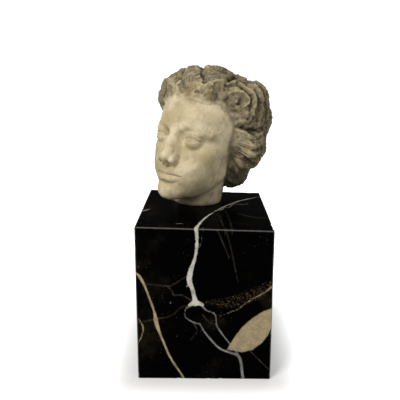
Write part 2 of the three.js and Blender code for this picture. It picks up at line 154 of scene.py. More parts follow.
def between(low: float, high: float, n: float) -> float:
    """A number from low to high, always the same for the same n."""
    return low + (high - low) * float(chance(n))


def mottle(p: Array, cell: float, seed: int, octaves: int = 1) -> Array:
    """Soft noise from -1 to 1: random values at the corners of cubic cells, blended between them.

    Args:
        p: Points, one in each row.
        cell: Side of a cell.
        seed: Which pattern to give.
        octaves: How many patterns are added, each half the size and half the height of the last.

    Returns:
        Noise at each point.
    """
    total = np.zeros(len(p))
    for octave in range(octaves):
        q = p * (2.0**octave / cell) + SEED_STEP * (seed + octave)
        base = np.floor(q)
        w = q - base
        w = w * w * (3.0 - 2.0 * w)
        value = np.zeros(len(p))
        for corner in np.ndindex(2, 2, 2):
            share = np.prod(np.where(corner, w, 1.0 - w), axis=-1)
            value += share * chance((base + corner) @ np.array(CORNER_WEIGHTS))
        total += (2.0 * value - 1.0) * 0.5**octave
    return total


def curve_through(knots: Sequence[Sequence[float]], count: int) -> Array:
    """Points along a Catmull-Rom curve: a cubic from knot to knot, with half the chord beside each as slope.

    Args:
        knots: Places that the curve passes, in order.
        count: How many points to give.

    Returns:
        An array of count rows.
    """
    k = np.asarray(knots, float)
    padded = np.vstack([2 * k[0] - k[1], k, 2 * k[-1] - k[-2]])
    t = np.linspace(0, len(k) - 1, count)
    i = np.minimum(t.astype(int), len(k) - 2)
    f = (t - i)[:, None]
    a, b, c, d = padded[i], padded[i + 1], padded[i + 2], padded[i + 3]
    return 0.5 * (2 * b + (c - a) * f + (2 * a - 5 * b + 4 * c - d) * f**2 + (3 * b - a - 3 * c + d) * f**3)


def toward(azimuth: Array, height: Array) -> Array:
    """Unit vectors from azimuth and height in degrees: (cos h sin a, -cos h cos a, sin h).

    Args:
        azimuth: Degrees from the face, towards the head's left.
        height: Degrees above the level of the eyes.

    Returns:
        One vector in each row.
    """
    a, h = np.radians(azimuth), np.radians(height)
    return np.stack([np.cos(h) * np.sin(a), -np.cos(h) * np.cos(a), np.sin(h) + 0 * a], axis=-1)


def angles_of(way: Array) -> tuple[Array, Array]:
    """Azimuth and height in degrees of unit vectors, the reverse of toward.

    Args:
        way: The vectors, one in each row.

    Returns:
        The azimuths and the heights.
    """
    azimuth = np.degrees(np.arctan2(way[:, 0], -way[:, 1]))
    return azimuth, np.degrees(np.arcsin(np.clip(way[:, 2], -1, 1)))


def folded(p: Array) -> Array:
    """The points with x made positive, so that a form given on the left stands on both sides."""
    return np.abs(p) * (1, 0, 0) + p * (0, 1, 1)


def blur(grid: Array, cells: int) -> Array:
    """Average over a square of cells on a net that closes round its columns.

    Args:
        grid: Values as rings by columns, with any further axes.
        cells: Half the side of the square.

    Returns:
        The averaged values, of the same shape.
    """
    padded = np.concatenate([np.repeat(grid[:1], cells, 0), grid, np.repeat(grid[-1:], cells, 0)])
    down = sum(padded[i : i + len(grid)] for i in range(2 * cells + 1)) / (2 * cells + 1)
    return sum(np.roll(down, i, axis=1) for i in range(-cells, cells + 1)) / (2 * cells + 1)


def reach(start: Array, way: Array, form: Form) -> Array:
    """Outermost place where each ray leaves a form: steps inwards, then halving between the last two.

    Args:
        start: Where the rays begin, one in each row.
        way: Their unit directions.
        form: Gives the distance to the form.

    Returns:
        The length of each ray.
    """
    near, far, step, halvings = 20.0, 200.0, 3.0, 9
    inside, outside = np.full(len(way), near), np.full(len(way), far)
    live, last = np.arange(len(way)), far
    for r in np.arange(far, near, -step):
        hit = form(start[live] + way[live] * r) < 0
        inside[live[hit]], outside[live[hit]] = r, last
        live, last = live[~hit], r
        if not len(live):
            break
    for _ in range(halvings):
        middle = 0.5 * (inside + outside)
        within = form(start + way * middle[:, None]) < 0
        inside, outside = np.where(within, middle, inside), np.where(within, outside, middle)
    return 0.5 * (inside + outside)


def make_piece(
    name: str, points: Array, faces: Iterable[Sequence[int]], smooth_faces: bool = True
) -> bpy.types.Object:
    """A mesh object at the origin, from points in metres.

    Args:
        name: Name of the object and its mesh.
        points: Vertices, one in each row.
        faces: Corners of each face, anticlockwise from outside.
        smooth_faces: Whether the faces are shaded smooth.

    Returns:
        The linked object.
    """
    mesh = bpy.data.meshes.new(name)
    mesh.from_pydata(points.tolist(), [], [list(map(int, f)) for f in faces])
    mesh.polygons.foreach_set("use_smooth", np.full(len(mesh.polygons), smooth_faces))
    mesh.update()
    piece = bpy.data.objects.new(name, mesh)
    bpy.context.scene.collection.objects.link(piece)
    return piece


def make_net(
    name: str, net: Array, ends: Array, marks: dict[str, Array], end_mark: float
) -> bpy.types.Object:
    """A mesh object from a net that closes round its columns, with a fan of triangles at the top and below.

    Args:
        name: Name of the object and its mesh.
        net: Points in millimetres as rings by columns by three: rings from the top down, each anticlockwise.
        ends: The middles of the upper and the lower fan.
        marks: Values at the points of the net, by the name of the attribute that holds them.
        end_mark: What every attribute holds at the middles of the fans.

    Returns:
        The linked object.
    """
    rings, columns = net.shape[:2]
    index = np.arange(rings * columns).reshape(rings, columns)
    following = np.roll(index, -1, 1)
    sides = np.stack([index[:-1], index[1:], following[1:], following[:-1]], axis=-1).reshape(-1, 4)
    top = np.stack([np.full(columns, index.size), index[0], following[0]], -1)
    bottom = np.stack([np.full(columns, index.size + 1), following[-1], index[-1]], -1)
    piece = make_piece(name, np.vstack([net.reshape(-1, 3), ends]) * MM, [*sides, *top, *bottom])
    for mark, values in marks.items():
        layer = piece.data.attributes.new(mark, "FLOAT", "POINT")
        layer.data.foreach_set("value", np.append(values, [end_mark, end_mark]).astype(np.float32))
    return piece


@dataclass(frozen=True)
class Bow:
    """A bent bar: its axis is the curve (1-t)^2 a + 2t(1-t) m + t^2 b, and its radius changes likewise."""

    start: Triple
    pull: Triple
    end: Triple
    radii: Triple
    steps: int = 6

    def _blend(self, a: Array, m: Array, b: Array) -> Array:
        """Values at the joints of the bar, from start, pull and end."""
        t = np.linspace(0, 1, self.steps + 1)[:, None]
        return (1 - t) ** 2 * np.asarray(a) + 2 * t * (1 - t) * np.asarray(m) + t**2 * np.asarray(b)

    def distance(self, p: Array) -> Array:
        """Distance from each row of p to the bar."""
        knots = self._blend(self.start, self.pull, self.end)
        r = self._blend(*self.radii)[:, 0]
        parts = [bar(p, knots[i], knots[i + 1], r[i], r[i + 1]) for i in range(self.steps)]
        return np.min(parts, axis=0)


@dataclass(frozen=True)
class Pose:
    """How the head sits on its block."""

    scale: float = 0.7
    turn: float = 37.0
    lean: float = 5.0
    chin_up: float = 10.0
    at: Triple = (0.0, 31.0, 261.5)

    def matrix(self) -> Array:
        """Turn about Z times lean about Y times nod about X."""
        z, y, x = np.radians([-self.turn, self.lean, -self.chin_up])
        turn = np.array([[math.cos(z), -math.sin(z), 0], [math.sin(z), math.cos(z), 0], [0, 0, 1]])
        lean = np.array([[math.cos(y), 0, math.sin(y)], [0, 1, 0], [-math.sin(y), 0, math.cos(y)]])
        nod = np.array([[1, 0, 0], [0, math.cos(x), -math.sin(x)], [0, math.sin(x), math.cos(x)]])
        return turn @ lean @ nod

    def place(self, p: Array) -> Array:
        """Moves rows of points from the head's frame to the object's, still in millimetres."""
        return np.array(self.at) + (p * self.scale) @ self.matrix().T


@dataclass(frozen=True)
class Seat:
    """Top of the block, which the neck stands on: level from front to back, and falling to the right."""

    middle: float = 183.0
    width: float = 150.0
    fall: float = 4.0

    def level(self, x: Array) -> Array:
        """Height of the top at x."""
        return self.middle - self.fall * x / self.width


@dataclass(frozen=True)
class Face:
    """The bare head: skull, face, neck and the lower part of the ears, with the face in equal thirds."""

    brow: float = 18.0
    third: float = 60.0
    eye: Triple = (31.0, -71.5, 0.0)
    ball: float = 13.5
    lid: float = 2.3
    opening_half: float = 14.5
    opening_up: float = 5.4
    opening_down: float = 4.4
    opening_tilt: float = 0.06

    @property
    def nose_base(self) -> float:
        """Level of the base of the nose."""
        return self.brow - self.third

    @property
    def mouth(self) -> float:
        """Level of the line between the lips, a third of the way from the nose to the chin."""
        return self.nose_base - self.third / 3

    @property
    def chin(self) -> float:
        """Level of the underside of the chin."""
        return self.nose_base - self.third

    def almond(self, p: Array) -> Array:
        """Distance in the frontal plane to the almond where an upper and a lower arc cross."""
        x = p[:, 0] - self.eye[0]
        z = p[:, 2] - self.eye[2] - self.opening_tilt * x

        def arc(rise: float) -> float:
            """Radius of the arc over the width of the eye that rises so much."""
            return (self.opening_half**2 + rise**2) / (2 * rise)

        up, down = arc(self.opening_up), arc(self.opening_down)
        upper = np.hypot(x, z - self.opening_up + up) - up
        lower = np.hypot(x, z + self.opening_down - down) - down
        return np.maximum(upper, lower)

    def skull(self, p: Array, q: Array) -> Array:
        """Skull, cheeks, jaw, brow and neck; p are the points, q the same with x made positive."""
        low = self.chin
        d = egg(p, (0, 8, 30), (72, 95, 82))  # skull
        d = join(d, egg(p, (0, -40, 28), (57, 48, 44)), 16)  # forehead
        d = join(d, egg(p, (0, -32, -30), (57, 54, 74)), 18)  # middle of the face
        d = join(d, bar(q, (10, -70, low + 16), (42, -4, low + 50), 15, 12), 18)  # jaw
        d = join(d, egg(p, (0, -40, -70), (36, 40, 22)), 12)  # floor of the mouth
        d = join(d, egg(p, (0, -77, low + 13), (18, 17, 16)), 10)  # chin
        d = join(d, egg(q, (41, -48, -19), (19, 22, 16)), 16)  # cheekbones
        d = join(d, egg(q, (27, -58, -46), (22, 21, 26)), 18)  # cheeks
        d = join(d, egg(p, (0, -72, self.mouth + 2), (25, 19, 22)), 12)  # round the mouth
        brow = Bow((5, -84, self.brow - 3), (27, -90, self.brow + 7), (52, -60, self.brow - 6), (6, 6.5, 5.5))
        d = join(d, brow.distance(q), 9)
        return join(d, bar(p, (-2, 13, -50), (-14, 24, -190), 44, 41), 14)  # neck

    def with_eyes(self, d: Array, q: Array) -> Array:
        """Adds sockets, balls, lids round the almond and the fold over them to the distance d."""
        d = carve(d, egg(q, (30, -99, 0), (21, 19.5, 13.5)), 9)  # sockets
        d = carve(d, egg(q, (15, -90, 0), (6.5, 9.5, 9)), 6)  # inner corners
        ball = np.linalg.norm(q - np.array(self.eye), axis=-1) - self.ball
        lids = carve(ball - self.lid, self.almond(q), 1.0)
        d = join(d, join(ball, lids, 0.5), 3)
        return join(d, egg(q, (31, -72, 10.5), (17, 14, 5.5)), 5)  # folds

    def with_nose(self, d: Array, p: Array, q: Array) -> Array:
        """Adds ridge, sides, tip, wings and nostrils."""
        base = self.nose_base
        d = join(d, bar(p, (0, -84, self.brow - 3), (0, -100.5, base + 12), 6.2, 7.2), 7)  # ridge
        d = join(d, egg(p, (0, -86, base + 20), (14, 13, 24)), 7)  # sides
        d = join(d, egg(p, (0, -101.5, base + 9.5), (8.5, 9, 8)), 5)  # tip
        d = join(d, egg(q, (11, -93.5, base + 5.5), (5.6, 9.5, 6.8)), 4)  # wings
        d = join(d, bar(p, (0, -104, base + 3.5), (0, -94, base - 1.5), 3, 3.4), 3)  # wall in the middle
        return carve(d, egg(q, (6.2, -98.5, base - 2), (3, 5.5, 4.5)), 1.8)  # nostrils

    def with_mouth(self, d: Array, p: Array, q: Array) -> Array:
        """Adds the lips, the line between them, the hollow over the chin and the groove under the nose."""
        m = self.mouth
        upper = Bow((0, -91.8, m + 4.8), (9, -95.4, m + 7.8), (24, -79.5, m + 1.2), (5, 5.2, 1.8))
        lower = Bow((0, -90.4, m - 5.6), (11, -92, m - 8), (22, -79.5, m - 0.4), (7, 6.2, 2))
        line = Bow((0, -98.4, m - 0.8), (11, -97.4, m + 0.7), (25, -81.4, m + 0.9), (1.0, 1.2, 1.0))
        d = join(d, upper.distance(q), 4)
        d = join(d, lower.distance(q), 4)
        d = carve(d, line.distance(q), 1.8)
        d = carve(d, egg(p, (0, -98.5, self.chin + 24.5), (14, 8.5, 4.6)), 6)
        groove = bar(p, (0, -99.5, self.nose_base - 5), (0, -100.8, self.nose_base - 11), 2.6, 3.4)
        return carve(d, groove, 3)

    def distance(self, p: Array) -> Array:
        """Distance from each row of p to the bare head."""
        q = folded(p)
        d = self.with_eyes(self.skull(p, q), q)
        d = self.with_mouth(self.with_nose(d, p, q), p, q)
        ear = carve(egg(q, (69, 12, -12), (7, 11, 17)), egg(q, (77, 9, -8), (5, 6, 9)), 3)
        return join(d, ear, 5)


@dataclass(frozen=True)
class Lock:
    """A lock of hair: its path as azimuth and height in degrees, and its section in millimetres."""

    way: Array
    width: float
    height: float
    seed: float
    tip: float
    lift: float
    wave: bool = False

    def half_width(self, along: Array) -> Array:
        """Reach to either side of the path, which opens behind the root and narrows to the tip."""
        opening = 0.6 + 0.4 * smooth(along, 0, 0.15)
        return self.width * opening * (1 - (1 - self.tip) * smooth(along, 0.5, 1))

    def crest(self, along: Array) -> Array:
        """Height over the path: it rises behind the root, swells by a sine and sinks at the tip."""
        back = self.height * (0.7 + 0.3 * smooth(along, 0, 0.25)) * (1 - 0.3 * smooth(along, 0.75, 1))
        return back + self.lift * np.sin(np.pi * along)


@dataclass(frozen=True)
class Hair:
    """Hair as a mass round the head, laid with locks, drilled and parted by valleys.

    Its edges are places as azimuth and height in degrees, ramp and step are widths and shares by azimuth, a
    drilled hole is its place, radius and depth, and a valley is its depth, its half width and its way. The
    rim round a hole is measured in radii of it.
    """

    edge_left: Line = (
        (0, 41), (11, 39), (17, 42), (32, 41), (48, 45.5), (56, 45), (65, 42), (72, 37), (77, 31), (80, 23),
        (82, 14), (85, 3), (89, -7), (97, -14), (112, -30), (130, -60), (180, -62),
    )
    edge_right: Line = (
        (0, 41), (14, 41), (28, 39.5), (39, 35), (46, 27), (56, 20), (66, 10), (76, 1), (84, -6), (97, -14),
        (112, -30), (130, -60), (180, -62),
    )
    ramp: Line = ((0, 9), (25, 9), (40, 14), (60, 14), (76, 11), (95, 9), (110, 6), (180, 6))
    step: Line = ((0, 0.2), (25, 0.2), (40, 0.06), (76, 0.06), (95, 0.1), (115, 0.3), (180, 0.3))
    padding: float = 5.0
    centre: Triple = (0.0, -8.0, 10.0)
    spring: float = 46.0
    path_steps: int = 14
    great_lift: float = 2.0
    great_tip: float = 0.45
    mirror_shift: float = 2.5
    tuft_rows: tuple[int, ...] = (8, 7)
    tuft_middle: float = -8.0
    tuft_reach: float = 34.0
    tuft_row_gap: float = 13.0
    wave_tracks: int = 7
    wave_parts: int = 4
    wave_first: float = 26.0
    wave_step: float = 32.0
    track_first: float = 8.0
    track_gap: float = 15.5
    track_shift: float = 14.0
    nape_rows: tuple[tuple[float, int], ...] = ((-14, 9), (-27, 8))
    drilled: tuple[tuple[float, ...], ...] = (
        (-44, 40, 4.5, 12), (76, 39.5, 4.2, 11), (-76, 39, 4.5, 10), (103, -19, 7, 10),
    )
    valleys: tuple[tuple[float, float, Line], ...] = (
        (7, 3.5, ((76, 20), (84, 15.5), (94, 13), (104, 14), (116, 19))),
        (7, 3.5, ((-60, 18), (-76, 12), (-90, 11), (-112, 14))),
        (9, 4.5, ((27, 52), (20, 60), (-30, 78), (-110, 76))),
        (9, 4.5, ((55, 53), (64, 58), (100, 68), (150, 72))),
        (6, 4.0, ((90, 51), (100, 57), (118, 61), (146, 60))),
        (9, 5.0, ((82, -13), (92, -17), (103, -14), (116, -6))),
        (9, 5.0, ((-82, -13), (-92, -17), (-103, -14), (-116, -6))),
        (7, 4.0, ((-22, 46), (-30, 57), (-50, 64), (-80, 66))),
    )
    rim_height: float = 0.35
    rim_at: float = 1.9
    rim_width: float = 0.7
    strand: float = 5.5
    run: float = 5.0
    least_run: float = 0.001
    break_level: float = -85.0
    break_slope: float = 0.12

    def mass(self, p: Array) -> Array:
        """Distance to the hair under its locks, broken off below."""
        q = folded(p)
        d = egg(p, (0, 12, 34), (82, 88, 80))  # cap
        d = join(d, egg(p, (38, -36, 62), (39, 36, 36)), 22)  # front, left
        d = join(d, egg(p, (-36, -36, 58), (33, 35, 35)), 22)  # front, right
        d = join(d, egg(p, (-27, -20, 78), (26, 30, 34.5)), 14)  # hump over the right brow
        d = join(d, egg(q, (49, 32, 56), (36, 40, 37)), 22)  # sides
        d = join(d, egg(p, (67, 14, 77), (20, 24, 26.5)), 14)  # hump over the left ear
        d = join(d, egg(p, (-4, 0, 98), (24, 28, 16)), 14)  # crown
        d = join(d, egg(q, (62, 21, 1), (32, 39, 25)), 16)  # rolls over the ears
        d = join(d, egg(p, (1, 47, -40), (52, 39, 40)), 20) - self.padding  # nape
        return carve(d, p[:, 2] - self.break_level - self.break_slope * p[:, 1], 5)

    def foot(self, way: Array) -> Array:
        """Places on the mass in the directions of the rows of way, seen from its centre."""
        start = np.zeros_like(way) + np.array(self.centre)
        return start + way * reach(start, way, self.mass)[:, None]

    def edge_height(self, azimuth: Array, side: float) -> Array:
        """Height of the edge of the hair in degrees, on the left for a side above 0."""
        line = np.array(self.edge_left if side > 0 else self.edge_right, float)
        return np.interp(azimuth, line[:, 0], line[:, 1])

    def inside(self, azimuth: Array, height: Array) -> Array:
        """How many degrees each place lies inside the edge of the hair; below 0 it is bare.

        Args:
            azimuth: Degrees from the face.
            height: Degrees above the eyes.

        Returns:
            The distance to the nearest part of the edge, with its sign.
        """
        found = np.zeros(len(azimuth))
        a = np.abs(azimuth)
        for side, line in ((1, self.edge_left), (-1, self.edge_right)):
            best = np.full(len(azimuth), np.inf)
            for (a0, h0), (a1, h1) in zip(line[:-1], line[1:]):
                squeeze = math.cos(math.radians(min(max((h0 + h1) / 2, -60), 60)))
                run = np.array([(a1 - a0) * squeeze, h1 - h0])
                off = np.stack([(a - a0) * squeeze, height - h0], -1)
                t = np.clip(off @ run / (run @ run), 0, 1)
                best = np.minimum(best, np.linalg.norm(off - t[:, None] * run, axis=-1))
            sign = np.where(height > self.edge_height(a, side), 1.0, -1.0)
            found = np.where(np.sign(azimuth + TINY) == side, best * sign, found)
        return found

    def rise(self, azimuth: Array, inside: Array) -> Array:
        """Share of its full height that the hair has: a small step at its edge, then a smooth ramp.

        Args:
            azimuth: Degrees from the face, without sign.
            inside: Degrees inside the edge.

        Returns:
            The share, from 0 to 1.
        """
        ramp, step = np.array(self.ramp, float), np.array(self.step, float)
        first = np.interp(azimuth, step[:, 0], step[:, 1])
        width = np.interp(azimuth, ramp[:, 0], ramp[:, 1])
        return first * smooth(inside, -0.6, 1) + (1 - first) * smooth(inside / width, 0, 1)

    def great_locks(self) -> list[Lock]:
        """Locks that give the hair its style, named for the head's left; the right has them in mirror."""
        sweep = ((24, 46), (46, 46.5), (67, 43), (76, 31), (82, 17))
        curl = ((20, 54), (36, 48.5), (63, 47), (78, 43.5), (84, 38), (77, 33))
        arch = ((26, 55), (48, 53), (72, 54), (86, 46), (90, 33), (90, 17))
        crown = ((-40, 82), (20, 77), (46, 68), (67, 57))
        side = ((62, 60), (90, 60), (96, 46), (103, 19))
        back = ((96, 62), (109, 48), (112, 34), (115, 18))
        roll_top = ((78, 15), (94, 8), (122, 16))
        roll_middle = ((80, 6), (92, 0), (124, 12))
        roll_low = ((86, -7), (94, -10), (122, 4))
        shapes = ((sweep, 3.6, 2.5), (curl, 6, 6), (arch, 5.5, 7), (crown, 12, 5.5), (side, 7.5, 6),
                  (back, 8, 6), (roll_top, 8, 5), (roll_middle, 10, 7), (roll_low, 9, 5))
        made = []
        for sign in (1, -1):
            for number, (knots, width, height) in enumerate(shapes):
                way = curve_through(knots, self.path_steps + 1)
                seed = 200 + 20 * sign + number
                shift = 0 if sign > 0 else between(-self.mirror_shift, self.mirror_shift, seed)
                way = way * (sign, 1) + (shift, shift)
                made.append(Lock(way, width, height, seed, self.great_tip, self.great_lift))
        return made

    def tufts(self) -> list[Lock]:
        """Tufts that spring from the forehead in two rows, fall to the sides and curl over at their tips."""
        made = []
        sway, droop, sag = 5, 0.42, 7
        s = np.linspace(0, 1, self.path_steps + 1)
        for row, count in enumerate(self.tuft_rows):
            for i in range(count):
                k = len(made) + 1
                f = (i + 0.5) / count * 2 - 1
                side = 1 if f > 0 else -1
                root = self.tuft_middle + self.tuft_reach * f + between(-3, 3, k)
                start = self.edge_height(abs(root), root) - 1 + self.tuft_row_gap * row
                lean = side * (14 + 20 * abs(f)) + between(-7, 7, k + 0.5)
                curl, long = side * between(10, 20, k + 0.6), between(19, 28, k + 0.7)
                azimuth = root + lean * s + curl * s**3 + sway * side * np.sin(2 * np.pi * s)
                height = start + long * (s - droop * s**3) - sag * abs(f) * s**2
                width, rise = between(9, 13, k + 0.2), between(2.5, 6, k + 0.4) + row
                made.append(Lock(np.stack([azimuth, height], -1), width, rise, k, tip=0.25, lift=2.5))
        return made

    def waves(self) -> list[Lock]:
        """Waves combed back over the crown and the sides to the nape, in tracks that overlap like tiles."""
        tracks, parts = range(self.wave_tracks), range(self.wave_parts)
        places = [(side, track, part) for side in (-1, 1) for track in tracks for part in parts]
        return [self.wave(20 + number, *place) for number, place in enumerate(places)]

    def wave(self, k: int, side: int, track: int, part: int) -> Lock:
        """One wave: an arc about the place that the hair springs from, swung by a sine and hooked at its end.

        Args:
            k: Its number, which settles its chances.
            side: -1 on the head's right, 1 on its left.
            track: Number of its track, from the top down.
            part: Its number in the track, from the front back.

        Returns:
            The lock.
        """
        s = np.linspace(0, 1, self.path_steps + 1)
        start = self.wave_first + self.wave_step * part + between(-2.5, 2.5, k)
        start += self.track_shift * (track % 2)
        heading = self.track_first + self.track_gap * track + between(-2.5, 2.5, k + 0.11)
        bend = between(4.5, 7.5, k + 0.2) * np.sin(2 * np.pi * (s * 1.15 + between(0, 0.35, k + 0.3)))
        hook = between(7, 13, k + 0.8) * (1 if chance(k + 0.9) > 0.4 else -1)
        h = np.radians(side * (heading + bend + hook * np.clip((s - 0.68) / 0.32, 0, 1) ** 2))
        a = np.radians(start + between(46, 54, k + 0.1) * s)
        tilt = math.radians(self.spring)
        front, back = -np.cos(a), np.sin(a) * np.cos(h)
        way = np.stack([np.sin(a) * np.sin(h), front * math.cos(tilt) + back * math.sin(tilt),
                        -front * math.sin(tilt) + back * math.cos(tilt)], -1)
        shorter = 0.75 if part == self.wave_parts - 1 else 1
        broad = 9.5 + 9.5 * math.sin(math.radians(min(start + 24, 120))) * shorter
        width = broad * between(0.92, 1.12, k + 0.44)
        height, lift = between(3, 7, k + 0.55), between(2, 4, k + 0.77)
        return Lock(np.stack(angles_of(way), -1), width, height, k, tip=0.28, lift=lift, wave=True)

    def nape_curls(self) -> list[Lock]:
        """Curls at the nape, in two rows, each given by the height of its top and its count."""
        made = []
        first, span, swing = 96, 168, 9
        s = np.linspace(0, 1, self.path_steps + 1)
        for row, (top, count) in enumerate(self.nape_rows):
            for i in range(count):
                k = 90 + len(made)
                turn = (swing if chance(k) > 0.5 else -swing) * np.sin(1.25 * np.pi * s)
                azimuth = first + span * (i + 0.5 * row) / (count - 0.5) + turn
                height = top + between(0, 4, k + 0.2) - between(26, 32, k + 0.4) * s
                width, rise = between(11, 13.5, k + 0.3), between(4, 8, k + 0.6)
                made.append(Lock(np.stack([azimuth, height], -1), width, rise, k, tip=0.45, lift=2))
        return made

    def beside(self, p: Array, normal: Array, path: Array) -> tuple[Array, Array]:
        """Where each point lies by a path, measured flat on the mass.

        Args:
            p: Points, one in each row.
            normal: Outward directions at the points.
            path: Joints of the path.

        Returns:
            How far along the path its foot is, from 0 to 1, and its distance to the right of it, with a sign.
        """
        best = np.full(len(p), np.inf)
        along, wide = np.zeros(len(p)), np.zeros(len(p))
        for i, (a, b) in enumerate(zip(path[:-1], path[1:])):
            run = b - a
            t = np.clip((p - a) @ run / (run @ run), 0, 1)
            off = p - a - t[:, None] * run
            off -= np.sum(off * normal, axis=-1, keepdims=True) * normal
            gap = np.linalg.norm(off, axis=-1)
            side = np.where(np.sum(off * np.cross(normal, run), axis=-1) > 0, 1.0, -1.0)
            nearer = gap < best
            best = np.where(nearer, gap, best)
            along = np.where(nearer, (i + t) / (len(path) - 1), along)
            wide = np.where(nearer, side * gap, wide)
        return along, wide

    def height(self, p: Array, inside: Array) -> tuple[Array, Array, Array]:
        """Height of the hair over its mass: its locks, each a dome (1 - u^2)^0.8 across, run into each other.

        Args:
            p: Points on the mass, one in each row.
            inside: How many degrees each lies inside the edge of the hair.

        Returns:
            The height without strands, the depth of the grooves between strands from 0 to 1, and how far each
            point lies from the middle of its lock, in millimetres.
        """
        dome, keenness, margin, seed_gap = 0.8, 1.4, 1.3, 40
        off = p - np.array(self.centre)
        normal = off / np.linalg.norm(off, axis=-1, keepdims=True)
        high, groove, across = np.zeros(len(p)), np.zeros(len(p)), np.zeros(len(p))
        azimuth, up = angles_of(normal)
        azimuth = np.abs(azimuth)
        styled = smooth(azimuth, 54, 66) * smooth(-azimuth, -124, -112)
        styled *= smooth(up, -18, -10) * smooth(-up, -62, -54)
        for lock in self.great_locks() + self.tufts() + self.waves() + self.nape_curls():
            path = self.foot(toward(lock.way[:, 0], lock.way[:, 1]))
            middle = path[len(path) // 2]
            spread = np.linalg.norm(path - middle, axis=-1).max() + lock.width * margin
            near = np.where(np.linalg.norm(p - middle, axis=-1) < spread)[0]
            along, wide = self.beside(p[near], normal[near], path)
            u = np.clip(wide / lock.half_width(along), -1, 1)
            fade = smooth(inside[near], 2, 12) * (1 - styled[near]) if lock.wave else 1.0
            value = lock.crest(along) * (1 - u**2) ** dome * fade
            run = self.run * (1 - u**4) + self.least_run
            phase = 2 * np.pi * chance(lock.seed + 0.9)
            bands = max(2, round(2 * lock.width / self.strand))
            lines = 0.5 - 0.5 * np.cos(2 * np.pi * bands * (u * 0.5 + 0.5 + 0.05 * np.sin(6 * along + phase)))
            share = np.clip(0.5 + 0.5 * (value - high[near]) / run, 0, 1) * (np.abs(u) < 1)
            high[near] += (value - high[near] + run * (1 - share)) * share
            groove[near] += (lines**keenness * (1 - u**4) - groove[near]) * share
            across[near] = np.where(share > 0.5, wide + seed_gap * lock.seed, across[near])
        for azimuth, up, radius, depth in self.drilled:
            at = self.foot(toward(np.array([azimuth]), np.array([up])))
            d = np.linalg.norm(p - at, axis=-1) / radius
            high += radius * self.rim_height * np.exp(-(((d - self.rim_at) / self.rim_width) ** 2))
            high -= depth * np.exp(-(d**2))
        for depth, half, line in self.valleys:
            knots = np.array(line, float)
            along, wide = self.beside(p, normal, self.foot(toward(knots[:, 0], knots[:, 1])))
            swell = np.sqrt(np.sin(np.pi * np.clip(along * 0.9 + 0.1, 0, 1)))
            high -= depth * swell * np.exp(-((wide / half) ** 2))
        return high, groove, across


